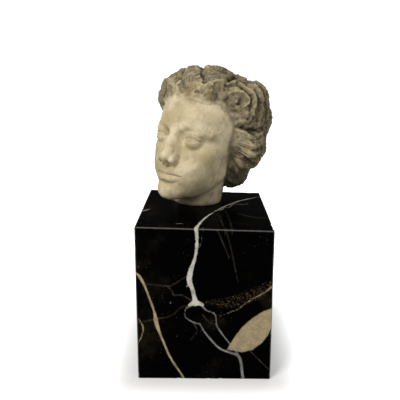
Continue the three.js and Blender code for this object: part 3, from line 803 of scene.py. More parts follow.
@dataclass
class MarbleHead:
    """The carved head and the stump of its neck: a net of columns round it and rings down from the crown."""

    face: Face = field(default_factory=Face)
    hair: Hair = field(default_factory=Hair)
    pose: Pose = field(default_factory=Pose)
    seat: Seat = field(default_factory=Seat)
    axis: Triple = (0.0, -8.0, 0.0)
    axis_lift: float = 36.0
    lift_from: float = 55.0
    lift_to: float = 100.0
    columns: int = 350
    rings: int = 280
    front_crowding: float = 0.4
    face_crowding: float = 0.4
    face_ring: float = 0.68
    strand_depth: float = 0.9
    least_facing: float = 0.45
    fine_cells: int = 2
    fine_share: float = 0.5
    broad_cells: int = 9
    broad_share: float = 0.16
    nape_shade_and_soil: float = 1.3
    temple_soil: float = 0.55
    clearance: float = 0.02

    def rays(self, azimuth: Array, polar: Array) -> tuple[Array, Array]:
        """Starts and directions of rays; behind the temples they start higher, to meet undersides squarely.

        Args:
            azimuth: Angle from the face, in radians.
            polar: Angle down from the crown, in radians.

        Returns:
            The starts and the unit directions, one in each row.
        """
        lift = smooth(np.abs(azimuth), math.radians(self.lift_from), math.radians(self.lift_to))
        start = np.array(self.axis) + self.axis_lift * lift[:, None] * (0, 0, 1)
        way = [np.sin(polar) * np.sin(azimuth), -np.sin(polar) * np.cos(azimuth), np.cos(polar)]
        return start, np.stack(way, axis=-1)

    def surface(self, azimuth: Array, polar: Array) -> tuple[Array, Array, Array, Array]:
        """The carved surface as a function of azimuth and polar angle.

        On each ray it is the bare head, or inside the edge of the hair the mass of hair plus the height of
        its locks, divided by the cosine between ray and surface, and blended in over some degrees.

        Args:
            azimuth: Angle from the face, in radians.
            polar: Angle down from the crown, in radians.

        Returns:
            The points, how many degrees each lies inside the edge of the hair, the groove between strands,
            and the distance from the middle of the lock.
        """
        start, way = self.rays(azimuth, polar)
        bare = reach(start, way, self.face.distance)
        skin = start + way * bare[:, None] - self.axis
        inside = self.hair.inside(*angles_of(skin / np.linalg.norm(skin, axis=-1, keepdims=True)))
        reached = reach(start, way, self.hair.mass)
        p = start + way * reached[:, None]
        level = self.hair.mass(p)
        slope = np.stack([self.hair.mass(p + 0.5 * axis) - level for axis in np.eye(3)], axis=-1)
        facing = np.sum(slope * way, axis=-1) / (np.linalg.norm(slope, axis=-1) + TINY)
        high, groove, across = self.hair.height(p, inside)
        high = high - self.strand_depth * groove
        rise = self.hair.rise(np.degrees(np.abs(azimuth)), inside)
        over = np.maximum(0, reached + high / np.clip(facing, self.least_facing, 1) - bare) * rise
        return start + way * (bare + over)[:, None], inside, groove * rise, across

    def cut_angles(self, azimuth: Array) -> Array:
        """Polar angle at which each column meets the cut through the neck, on the top of the block."""
        highest, lowest, halvings = math.radians(110), math.radians(176), 24
        above, below = np.full(len(azimuth), highest), np.full(len(azimuth), lowest)
        for _ in range(halvings):
            middle = (above + below) / 2
            start, way = self.rays(azimuth, middle)
            p = self.pose.place(start + way * reach(start, way, self.face.distance)[:, None])
            over = p[:, 2] > self.seat.level(p[:, 0])
            above, below = np.where(over, middle, above), np.where(over, below, middle)
        return (above + below) / 2

    def net(self) -> tuple[Array, Array, Array, Array]:
        """Points of the net, with columns crowded at the front and rings crowded on the face.

        Returns:
            Points as rings by columns by three, the degrees inside the hair, the groove between strands, and
            the distance from the middle of the lock.
        """
        turn = 2 * np.pi * np.arange(self.columns) / self.columns - np.pi
        azimuth = turn - self.front_crowding * np.sin(turn)
        down = np.arange(1, self.rings + 1) / self.rings
        swing = np.sin(2 * np.pi * (down - self.face_ring)) + math.sin(2 * np.pi * self.face_ring)
        share = down - self.face_crowding / (2 * np.pi) * swing
        polar = share[:, None] * self.cut_angles(azimuth)[None, :]
        wide = np.broadcast_to(azimuth, polar.shape)
        points, *marks = self.surface(wide.ravel(), polar.ravel())
        shape = (self.rings, self.columns)
        return points.reshape(*shape, 3), *(mark.reshape(shape) for mark in marks)

    def worn(self, points: Array, inside: Array) -> Array:
        """Wears the net: it moves along its own normals by soft noise, pits and chips, most in the hair.

        Args:
            points: The carved net.
            inside: Degrees inside the edge of the hair.

        Returns:
            The worn net.
        """
        flat = points.reshape(-1, 3)
        hairy = smooth(inside.ravel(), -1, 4)
        normal = self.normals(points).reshape(-1, 3)
        chips = smooth(mottle(flat, 9, seed=5, octaves=2), 0.62, 1.0)
        pits = smooth(mottle(flat, 4.5, seed=9), 0.72, 0.95)
        lumps = mottle(flat, 5, seed=1, octaves=2) + 1.2 * mottle(flat, 12, seed=2, octaves=2)
        move = hairy * lumps + 0.35 * mottle(flat, 14, seed=3, octaves=2)
        move -= (0.7 + 1.6 * hairy) * chips + (0.45 + 0.5 * hairy) * pits
        return (flat + normal * move[:, None]).reshape(points.shape)

    def normals(self, points: Array) -> Array:
        """Outward normals of the net: the cross product of its steps round and down."""
        round_step = np.roll(points, -1, 1) - np.roll(points, 1, 1)
        down_step = np.gradient(points, axis=0)
        n = np.cross(down_step, round_step)
        return n / (np.linalg.norm(n, axis=-1, keepdims=True) + TINY)

    def marks(self, points: Array, inside: Array) -> dict[str, Array]:
        """Where there is hair, with a ragged edge, and how much soil and painted shade darken it: both in the
        hollows and under the nape, with a stain at the temples.

        Args:
            points: The worn net.
            inside: Degrees inside the edge of the hair.

        Returns:
            For each attribute its values.
        """
        normal = self.normals(points)
        # Soil and painted shade in the hollows of the carving: how far the net lies below its blurred copy.
        fine = np.sum((blur(points, self.fine_cells) - points) * normal, axis=-1)
        broad = np.sum((blur(points, self.broad_cells) - points) * normal, axis=-1)
        soil_and_shade = self.fine_share * fine + self.broad_share * broad
        azimuth = np.degrees(np.arctan2(np.abs(points[:, :, 0]), -points[:, :, 1]))
        # Painted shade, with soil, under the hair at the nape: darker further below the eyes, fading towards
        # the back.
        under = smooth(-points[:, :, 2], 4, 30) * smooth(inside, 0, 8) * smooth(azimuth, 165, 125)
        soil_and_shade += self.nape_shade_and_soil * under
        soil_and_shade += self.temple_soil * smooth(inside, -18, 0) * smooth(azimuth, 15, 60)
        noise = mottle(points.reshape(-1, 3), 6, seed=21, octaves=2).reshape(inside.shape)
        ragged = inside + 2.5 * noise
        return {"hair": smooth(ragged, -3, 7), "soil_and_shade": soil_and_shade}

    def build(self) -> bpy.types.Object:
        """Makes the piece, with the hair and the hollows of the carving as attributes for its finish."""
        points, inside, groove, across = self.net()
        points = self.worn(points, inside)
        placed = self.pose.place(points.reshape(-1, 3)).reshape(points.shape)
        level = self.seat.level(placed[:, :, 0])
        placed[-1, :, 2] = level[-1]
        placed[:-1, :, 2] = np.maximum(placed[:-1, :, 2], level[:-1] + self.clearance)
        ends = np.stack([placed[0].mean(0), placed[-1].mean(0)])
        marks = self.marks(points, inside) | {"groove": groove, "across": across}
        return make_net("carved_head", placed, ends, marks, 0.0)


class VeinKind(Enum):
    """Sorts of line in the black stone; the value names the attribute that holds how far each is."""

    WHITE = "white_vein"
    GREY = "grey_vein"
    HAIRLINE = "hairline"
    GOLD = "gold_vein"
    RUST = "rust_band"


@dataclass(frozen=True)
class Vein:
    """A sheet of lighter mineral: its way on a face, with half its width at each place, and its depth."""

    kind: VeinKind
    knots: tuple[Triple, ...]
    depth: float = 400.0
    steps: int = 6

    def gap(self, p: Array) -> Array:
        """Distance from each row of p, a place on the face, to the edge of the vein; negative inside."""
        way = curve_through(self.knots, self.steps * (len(self.knots) - 1) + 1)
        best = np.full(len(p), np.inf)
        for a, b in zip(way[:-1], way[1:]):
            run = b[:2] - a[:2]
            t = np.clip((p - a[:2]) @ run / (run @ run), 0, 1)
            off = np.linalg.norm(p - a[:2] - t[:, None] * run, axis=-1)
            best = np.minimum(best, off - (a[2] + (b[2] - a[2]) * t))
        return best


W, G, H, Y, R = VeinKind.WHITE, VeinKind.GREY, VeinKind.HAIRLINE, VeinKind.GOLD, VeinKind.RUST
VEINS = (
    Vein(W, ((-10, 188, 2.6), (-8, 175, 1.6), (-8.3, 163, 1.5), (-9.4, 153, 1.4), (-12, 144, 1.7),
             (-15, 134, 2.6), (-16.5, 125, 2.8), (-14, 117, 2.2), (-12, 109, 2), (-10.6, 101.6, 2.4),
             (-9.5, 96.5, 3.6))),
    Vein(W, ((-17, 94, 1.2), (-9.5, 97, 3), (-2, 94.5, 1.6))),
    Vein(W, ((-17, 124, 1.4), (-18.9, 116.5, 0.5)), 20),
    Vein(G, ((-14.7, 94, 1.1), (-20.5, 89, 0.8), (-21, 79.5, 0.5), (-12, 73, 0.7), (-4.7, 70.8, 0.7)), 20),
    Vein(G, ((-2.4, 93, 1), (3, 87.5, 0.6), (12, 83, 0.6), (13.8, 70, 0.6), (20, 59, 0.8), (28.5, 47, 0.5))),
    Vein(G, ((-4.7, 70.8, 0.7), (0, 61.6, 0.8), (9, 49.5, 1), (18, 40, 1.1), (29.6, 34.8, 1.2),
             (38.8, 31, 1.5), (42.4, 21.4, 1.4), (44, 8.3, 1.6), (46, -4, 1.4))),
    Vein(G, ((28.5, 47, 0.7), (35, 39, 0.6), (38.8, 32, 0.8)), 30),
    Vein(Y, ((-190, 98, 0.8), (-150, 117, 1.2), (-118, 129, 1), (-92, 134, 1.1), (-75, 132, 1.1),
             (-69.3, 125, 1.4), (-64, 113, 1.1), (-60, 100, 1), (-56, 86.6, 1.2), (-53.6, 71.7, 2.3),
             (-50, 59, 1.3), (-45.6, 46.5, 1.1), (-40, 31, 1.1), (-33.4, 18, 1), (-27.8, 9, 1),
             (-21, -4, 1))),
    Vein(G, ((-1.5, 184, 0.2), (-2.5, 175, 0.3), (-3.4, 168.5, 0.2), (-5.7, 162, 0.1)), 5),
    Vein(Y, ((-73, 76.6, 0.3), (-69, 66.6, 0.6), (-70.3, 56.5, 0.6), (-75, 46, 0.3)), 30),
    Vein(Y, ((17.7, 81.4, 0.1), (28.8, 85.5, 0.3), (37.6, 89.7, 0.4), (46.3, 97, 0.5), (55, 103, 0.4),
             (65.8, 109.3, 0.6), (74.3, 116.6, 0.8), (92, 127, 0.8))),
    Vein(R, ((0, 97, 1.5), (14, 97, 4), (28, 97, 6), (46, 104, 7), (60, 110, 6.5), (74, 119, 4.5),
             (92, 128, 4))),
    Vein(H, ((13, 184, 0.3), (21, 165, 0.3), (27, 150, 0.2)), 4),
    Vein(H, ((23, 184, 0.3), (29.8, 156, 0.3), (36.8, 122, 0.1)), 4),
    Vein(H, ((50, 39.6, 0.4), (66.5, 21.7, 0.5), (80, 8, 0.4)), 30),
    Vein(H, ((-70, 120, 0.3), (-41, 117, 0.5), (-33, 119.5, 0.4), (-24, 125.5, 0.4), (-18, 130, 0.2)), 8),
    Vein(H, ((-41, 117, 0.4), (-35.5, 111, 0.5), (-33.4, 106, 0.8), (-24.5, 106, 0.4), (-13.5, 99, 0.5)), 8),
    Vein(H, ((-76, 71.5, 0.4), (-54, 76.7, 0.6), (-38, 80.5, 0.4), (-25, 91.7, 0.5), (-18, 93, 0.5)), 8),
    Vein(H, ((-12, 72, 0.6), (-8, 62, 0.4), (-16, 50, 0.2)), 8),
    Vein(H, ((14, 70, 0.4), (4, 75, 0.3), (-2, 83, 0.4)), 8),
    Vein(W, ((-250, 40, 2.2), (-214, 62, 2.7), (-188, 52, 2.2), (-160, 84, 3.1), (-128, 88, 2.2),
             (-104, 104, 1.5))),
    Vein(G, ((-236, 110, 1.9), (-200, 88, 2.3), (-172, 74, 1.9), (-150, 50, 2.1), (-104, 22, 1.7),
             (-92, -40, 1.7))),
    Vein(Y, ((-240, 96, 2), (-212, 20, 2.4), (-196, -40, 2))),
)
TOP_VEINS = (
    Vein(G, ((12, -12, 0.6), (20, -7, 0.9), (24, 2, 0.8), (31, 5, 0.6), (33, 14, 0.9), (38, 20, 0.6)), 3),
    Vein(G, ((33, 14, 0.5), (38, 28, 0.7), (50, 42, 0.5), (62, 46, 0.3)), 3),
    Vein(G, ((38, 20.6, 0.7), (50, 20, 0.6), (55, 26, 0.4)), 3),
    Vein(H, ((16.8, -29, 0.3), (22, -84, 0.3)), 3),
    Vein(H, ((24.5, -8, 0.3), (28, -45, 0.3), (30, -84, 0.3)), 3),
    Vein(H, ((40, -22, 0.5), (59, -35, 0.7), (76, -35, 0.5)), 3),
    Vein(G, ((-31, -66, 0.5), (-24, -66, 0.6)), 3),
    Vein(G, ((-78, -24, 1.2), (-70, -19, 1.6), (-66, -12, 0.4)), 3),
)
FLECKS = ((-35.7, 100), (-37.5, 97), (-32.6, 82), (-30.7, 55.5), (-32, 41), (-72, 139), (-70, 145),
          (-11.4, 57), (-17, 54), (-20.4, 62))


@dataclass
class StoneBlock:
    """The block: a rounded rectangle carried up a profile, with a worn arris, as one closed piece."""

    seat: Seat = field(default_factory=Seat)
    size: Triple = (150.0, 165.0, 183.0)
    flare: float = 0.02
    bevel: float = 1.2
    spacing: float = 1.5
    corner_steps: int = 8
    lower_steps: int = 8
    drift: Triple = (0.068, 0.0038, 0.45)
    thinning: float = 0.011
    fading: float = 0.2
    fleck_radius: float = 0.6
    fleck_slimness: float = 0.6
    far: float = 12.0
    chip_in: float = 0.9
    chip_down: float = 0.7
    lens_top: Line = ((24, 37), (27, 41), (34, 54), (42.5, 67.5), (55.6, 80), (66.5, 87.5), (75, 91),
                      (92, 96))
    lens_low: Line = ((24, 37), (27, 38.5), (34, 37.5), (43, 35.5), (54.5, 38.4), (65.6, 47.4), (72, 57.6),
                      (76, 68), (92, 92))

    def path(self, inset: float) -> Array:
        """The outline at a distance inside the faces: straight sides joined by quarter circles.

        Args:
            inset: How far inside the faces it runs.

        Returns:
            Points anticlockwise from above; the number is the same for every inset.
        """
        half = np.array(self.size[:2]) / 2
        sides = [max(2, int(round(s / self.spacing))) for s in self.size[:2]]
        turn = np.linspace(0, np.pi / 2, self.corner_steps + 1)
        middles = [(half - self.bevel) * way for way in ((1, -1), (1, 1), (-1, 1), (-1, -1))]
        points = []
        for quarter, middle in enumerate(middles):
            angle = turn + (quarter - 1) * np.pi / 2
            spokes = self.bevel * np.stack([np.cos(angle), np.sin(angle)], -1)
            first, last = middle + spokes[-1], middles[(quarter + 1) % 4] + spokes[-1]
            run = np.linspace(0, 1, sides[1 - quarter % 2] + 1)[1:-1, None]
            points += [middle + spokes, first + run * (last - first)]
        return np.vstack(points) * (1 - inset / half)

    def profile(self) -> Array:
        """Inset and height of each ring: over the top from its middle, down the side, and in below."""
        height = self.size[2]
        innermost = min(self.size[:2]) / 2 - self.spacing
        turn = np.linspace(0, np.pi / 2, self.corner_steps + 1)
        top = np.arange(innermost, self.bevel, -self.spacing)
        side = np.linspace(height - self.bevel, self.bevel, int(height / self.spacing))[1:-1]
        low = np.linspace(self.bevel, innermost, self.lower_steps)[1:]
        return np.vstack([
            np.stack([top, np.full(len(top), height)], -1),
            np.stack([self.bevel * (1 - np.sin(turn)), height - self.bevel * (1 - np.cos(turn))], -1),
            np.stack([0 * side, side], -1),
            np.stack([self.bevel * (1 - np.cos(turn)), self.bevel * (1 - np.sin(turn))], -1),
            np.stack([low, 0 * low], -1),
        ])

    def front_plane(self, p: Array) -> Array:
        """Carries points along the bent lie of the stone to the front face, and gives them as x and z."""
        back = p[:, 1] + self.size[1] / 2
        a, b, c = self.drift
        return np.stack([p[:, 0] - a * back - b * back**2, p[:, 2] - c * back], -1)

    def lean(self, p: Array) -> Array:
        """Widens points of a square block towards the foot, and lets its top fall as the seat does."""
        share = p[:, 2] / self.size[2]
        x = p[:, 0] * (1 + self.flare * (1 - share))
        return np.stack([x, p[:, 1], p[:, 2] + (self.seat.level(x) - self.size[2]) * share], -1)

    def marks(self, p: Array, square: Array) -> dict[str, Array]:
        """How far each point of the surface is from the edge of each kind of marking, in millimetres.

        Args:
            p: Points of the surface, one in each row.
            square: The same points before the block leans.

        Returns:
            For each attribute its values, negative inside the marking.
        """
        q = self.front_plane(p)
        found = {kind.value: np.full(len(p), self.far) for kind in VeinKind}
        back = p[:, 1] + self.size[1] / 2
        under = self.seat.level(p[:, 0]) - p[:, 2]
        for veins, place, behind in ((VEINS, q, back), (TOP_VEINS, p[:, :2], under)):
            for vein in veins:
                past = np.maximum(behind - vein.depth, 0)
                gap = vein.gap(place) + self.thinning * behind + self.fading * past
                found[vein.kind.value] = np.minimum(found[vein.kind.value], gap)
        for number, fleck in enumerate(FLECKS):
            off = np.linalg.norm((q - fleck) * (1, self.fleck_slimness), axis=-1)
            gap = off - self.fleck_radius * chance(number) + self.fading * back
            found[G.value] = np.minimum(found[G.value], gap)
        top, low = np.array(self.lens_top, float), np.array(self.lens_low, float)
        above = np.interp(q[:, 0], top[:, 0], top[:, 1]) - q[:, 1]
        below = q[:, 1] - np.interp(q[:, 0], low[:, 0], low[:, 1])
        found["fossil"] = np.maximum(-np.minimum(above, below), top[0, 0] - q[:, 0])
        to_sides = np.array(self.size[:2]) / 2 - np.abs(square[:, :2])
        to_ends = np.minimum(square[:, 2], self.size[2] - square[:, 2])
        nearest, second, _ = np.sort(np.column_stack([to_sides, to_ends]), axis=-1).T
        found["arris"] = np.hypot(nearest, second)
        return {name: np.clip(values, -self.far, self.far) for name, values in found.items()}

    def chipped(self, p: Array, square: Array, arris: Array) -> Array:
        """Chips the arrises: points near them move inwards, and at the top also down, by soft noise.

        Args:
            p: Points of the surface, one in each row.
            square: The same points before the block leans.
            arris: How far each point is from the nearest arris.

        Returns:
            The moved points.
        """
        near = 1 - smooth(arris, 0.6, 2.2)
        chips = smooth(mottle(p, 7, seed=31, octaves=2), 0.35, 0.9)
        chips = chips + 0.25 * smooth(mottle(p, 22, seed=33), 0, 1)
        below_top = square[:, 2] < self.size[2] - 0.01
        upper = (square[:, 2] > self.size[2] / 2) * (arris < 1.9)
        inward = -p * (1, 1, 0) / (np.abs(p[:, :2]).max(-1, keepdims=True) + TINY)
        moved = p + inward * (self.chip_in * near * chips * below_top)[:, None]
        moved[:, 2] -= self.chip_down * near * chips * upper
        return moved

    def build(self) -> bpy.types.Object:
        """Makes the piece with its markings as attributes."""
        levels = self.profile()
        rings = np.stack([np.insert(self.path(inset), 2, z, axis=1) for inset, z in levels])
        square = rings.reshape(-1, 3)
        leaning = self.lean(square)
        marks = self.marks(leaning, square)
        points = self.chipped(leaning, square, marks["arris"]).reshape(rings.shape)
        ends = self.lean(np.array([[0, 0, self.size[2]], [0, 0, 0]], float))
        return make_net("polished_block", points, ends, marks, self.far)


Colour = tuple[float, float, float]
Socket = bpy.types.NodeSocket


@dataclass
class Recipe:
    """A node tree in the making, with a short method for each kind of node that the finishes use."""

    tree: bpy.types.NodeTree

    @classmethod
    def of(cls, holder: bpy.types.Material | bpy.types.World) -> "Recipe":
        """Empties the node tree of a material or of the surroundings, and starts a recipe on it."""
        holder.use_nodes = True
        holder.node_tree.nodes.clear()
        return cls(holder.node_tree)

    def node(self, kind: str, inputs: dict | None = None, **settings: object) -> bpy.types.Node:
        """Adds a node.

        Args:
            kind: Blender's name for the node.
            inputs: Sockets or plain values for its inputs, by name or number.
            settings: Properties of the node.

        Returns:
            The node.
        """
        made = self.tree.nodes.new(kind)
        for name, value in settings.items():
            setattr(made, name, value)
        for name, value in (inputs or {}).items():
            if isinstance(value, Socket):
                self.tree.links.new(value, made.inputs[name])
            elif isinstance(value, tuple) and made.inputs[name].type == "RGBA":
                made.inputs[name].default_value = (*value, 1.0)
            else:
                made.inputs[name].default_value = value
        return made

    def math(self, operation: str, *values: Socket | float) -> Socket:
        """Result of one sum on one, two or three values."""
        return self.node("ShaderNodeMath", dict(enumerate(values)), operation=operation).outputs[0]

    def noise(self, at: Socket, scale: Socket | float, detail: float, rough: float) -> Socket:
        """Fractal noise from 0 to 1."""
        inputs = {"Vector": at, "Scale": scale, "Detail": detail, "Roughness": rough}
        return self.node("ShaderNodeTexNoise", inputs).outputs["Fac"]

    def times(self, a: Socket | float, b: Socket | float) -> Socket:
        """Product of two values."""
        return self.math("MULTIPLY", a, b)

    def rise(self, value: Socket, low: float, high: float, full: float = 1.0) -> Socket:
        """Smooth rise from 0 at low to full at high, or a fall where low is the larger."""
        swap = low > high
        inputs = {"Value": value, "From Min": min(low, high), "From Max": max(low, high),
                  "To Min": full * swap, "To Max": full * (not swap)}
        return self.node("ShaderNodeMapRange", inputs, interpolation_type="SMOOTHSTEP").outputs["Result"]

    def blend(self, share: Socket | float, a: Socket | Colour, b: Socket | Colour) -> Socket:
        """Colour a with a share of colour b over it."""
        return self.node("ShaderNodeMix", {0: share, 6: a, 7: b}, data_type="RGBA").outputs[2]

    def point(self) -> Socket:
        """The place on the object, in metres."""
        return self.node("ShaderNodeTexCoord").outputs["Object"]

    def attribute(self, name: str) -> Socket:
        """A value that the mesh holds at its points."""
        return self.node("ShaderNodeAttribute", attribute_name=name).outputs["Fac"]

    def spots(self, at: Socket, scale: float, low: float, high: float) -> Socket:
        """Round spots: 1 in the middles of random cells as far out as low, 0 from high on."""
        inputs = {"Vector": at, "Scale": scale, "Randomness": 1.0}
        gap = self.node("ShaderNodeTexVoronoi", inputs).outputs["Distance"]
        return self.rise(gap, high, low)

    def bump(self, strength: float, distance: float, height: Socket) -> Socket:
        """Normals tilted by the slope of a height."""
        inputs = {"Strength": strength, "Distance": distance, "Height": height}
        return self.node("ShaderNodeBump", inputs).outputs[0]

    def finish(self, inputs: dict) -> None:
        """Ends the tree of a material with a Principled surface."""
        surface = self.node("ShaderNodeBsdfPrincipled", inputs).outputs[0]
        self.node("ShaderNodeOutputMaterial", {"Surface": surface})


def stone_grain() -> bpy.types.NodeTree:
    """Node group for both stones: cloudy tone, sparse pits and the fine height of a worked surface."""
    tree = bpy.data.node_groups.new("stone_grain", "ShaderNodeTree")
    tree.interface.new_socket("Point", in_out="INPUT", socket_type="NodeSocketVector")
    for way, names in (("INPUT", ("Cloud Scale", "Grain Scale")), ("OUTPUT", ("Clouds", "Grain", "Pits"))):
        for name in names:
            tree.interface.new_socket(name, in_out=way, socket_type="NodeSocketFloat")
    recipe = Recipe(tree)
    given = recipe.node("NodeGroupInput").outputs
    place, scale = given["Point"], given["Grain Scale"]
    clouds = recipe.noise(place, given["Cloud Scale"], 6, 0.6)
    grain = recipe.noise(place, scale, 3, 0.6)
    pits = recipe.rise(recipe.noise(place, recipe.times(scale, 0.45), 2, 0.5), 0.66, 0.76)
    recipe.node("NodeGroupOutput", {"Clouds": clouds, "Grain": grain, "Pits": pits})
    return tree


@dataclass(frozen=True)
class AgedMarble:
    """Weathered marble of the head: creamy skin, dark olive hair, painted highlights on ridges, soil and
    painted shade in every hollow.
    """

    grain: bpy.types.NodeTree
    light: Colour = (0.74, 0.64, 0.45)
    mid: Colour = (0.46, 0.38, 0.22)
    grey: Colour = (0.30, 0.262, 0.16)
    stain: Colour = (0.34, 0.275, 0.14)
    hair: Colour = (0.27, 0.22, 0.12)
    hair_tan: Colour = (0.37, 0.27, 0.135)
    hair_grey: Colour = (0.25, 0.22, 0.165)
    ridge_highlight_and_fleck: Colour = (0.52, 0.44, 0.265)
    soil_and_shade: Colour = (0.055, 0.042, 0.022)
    rust: Colour = (0.16, 0.08, 0.03)
    cloud_scale: float = 26.0
    grain_scale: float = 700.0
    patch_scale: float = 75.0
    stain_scale: float = 12.0
    crust_scale: float = 420.0
    dot_scale: float = 150.0
    strands_per_mm: float = 1.5
    strand_wander: float = 5.0

    def skin(self, r: Recipe, clouds: Socket, patch: Socket, large: Socket, hollow: Socket) -> Socket:
        """Colour of the skin: light and tan clouds, grey patches, large stains, and soil and painted shade in
        the hollows.

        Args:
            r: The recipe of the material.
            clouds: Cloudy noise.
            patch: Noise of middle size.
            large: Noise over the whole head.
            hollow: How deep in a hollow the place lies.

        Returns:
            The colour.
        """
        skin = r.blend(r.rise(clouds, 0.35, 0.65), self.light, self.mid)
        skin = r.blend(r.rise(patch, 0.48, 0.74, 0.6), skin, self.grey)
        skin = r.blend(r.rise(large, 0.52, 0.72, 0.45), skin, self.stain)
        # Soil and painted shade in the hollows.
        return r.blend(r.rise(hollow, 0.2, 1.3, 0.6), skin, self.soil_and_shade)

    def locks(
        self, r: Recipe, patch: Socket, large: Socket, hollow: Socket, dark: Socket, crust: Socket
    ) -> Socket:
        """Colour of the hair: olive, grey and tan, with painted highlights on its ridges, soil and painted
        shade in its hollows, painted shade between its strands, and crusted.

        Args:
            r: The recipe of the material.
            patch: Noise of middle size.
            large: Noise over the whole head.
            hollow: How deep in a hollow the place lies.
            dark: How much painted shade the gaps between strands give.
            crust: Fine noise.

        Returns:
            The colour.
        """
        locks = r.blend(r.rise(patch, 0.42, 0.7), self.hair, self.hair_grey)
        locks = r.blend(r.rise(large, 0.48, 0.64, 0.8), locks, self.hair_tan)
        # Painted highlights on the ridges, then soil and painted shade in the hollows and painted shade
        # between strands.
        locks = r.blend(r.rise(hollow, -0.25, -0.95, 0.8), locks, self.ridge_highlight_and_fleck)
        locks = r.blend(r.rise(hollow, 0.0, 0.8, 0.9), locks, self.soil_and_shade)
        locks = r.blend(dark, locks, self.soil_and_shade)
        # Crust: light and dark flecks of the stone's own colour.
        locks = r.blend(r.rise(crust, 0.54, 0.72, 0.55), locks, self.ridge_highlight_and_fleck)
        return r.blend(r.rise(crust, 0.46, 0.3, 0.4), locks, self.soil_and_shade)

    def material(self) -> bpy.types.Material:
        """Builds the finish."""
        made = bpy.data.materials.new("aged_marble")
        r = Recipe.of(made)
        point = r.point()
        grain = r.node("ShaderNodeGroup", {"Point": point, "Cloud Scale": self.cloud_scale,
                                           "Grain Scale": self.grain_scale}, node_tree=self.grain).outputs
        clouds, pits = grain["Clouds"], grain["Pits"]
        patch = r.noise(point, self.patch_scale, 5, 0.6)
        large = r.noise(point, self.stain_scale, 3, 0.5)
        crust = r.noise(point, self.crust_scale, 3, 0.7)
        hair = r.attribute("hair")
        # Depth in the hollows, with cloudy noise: above 0 it darkens the colour with soil and painted shade,
        # below 0, on the hair's ridges, it gives painted highlights.
        hollow = r.math("ADD", r.attribute("soil_and_shade"), r.math("MULTIPLY_ADD", clouds, 1.1, -0.55))
        wander = r.times(patch, self.strand_wander)
        phase = r.math("MULTIPLY_ADD", r.attribute("across"), self.strands_per_mm, wander)
        strands = r.math("MULTIPLY_ADD", r.math("SINE", phase), 0.5, 0.5)
        strands = r.times(r.times(strands, hair), r.rise(patch, 0.35, 0.6))
        # Painted shade between strands, from the strand lines and the grooves.
        dark = r.math("MULTIPLY_ADD", strands, 0.4, r.times(r.attribute("groove"), 0.25))
        skin = self.skin(r, clouds, patch, large, hollow)
        colour = r.blend(hair, skin, self.locks(r, patch, large, hollow, dark, crust))
        dots = r.times(r.spots(point, self.dot_scale, 0.06, 0.22), r.rise(large, 0.44, 0.62, 0.35))
        colour = r.blend(dots, colour, self.rust)
        colour = r.blend(r.times(pits, 0.35), colour, self.rust)
        height = r.math("MULTIPLY_ADD", patch, 1.2, grain["Grain"])
        height = r.math("SUBTRACT", r.math("SUBTRACT", height, pits), strands)
        r.finish({"Base Color": colour, "Roughness": r.math("MULTIPLY_ADD", clouds, 0.25, 0.5),
                  "Normal": r.bump(0.45, 0.0006, height), "Specular IOR Level": 0.35})
        return made


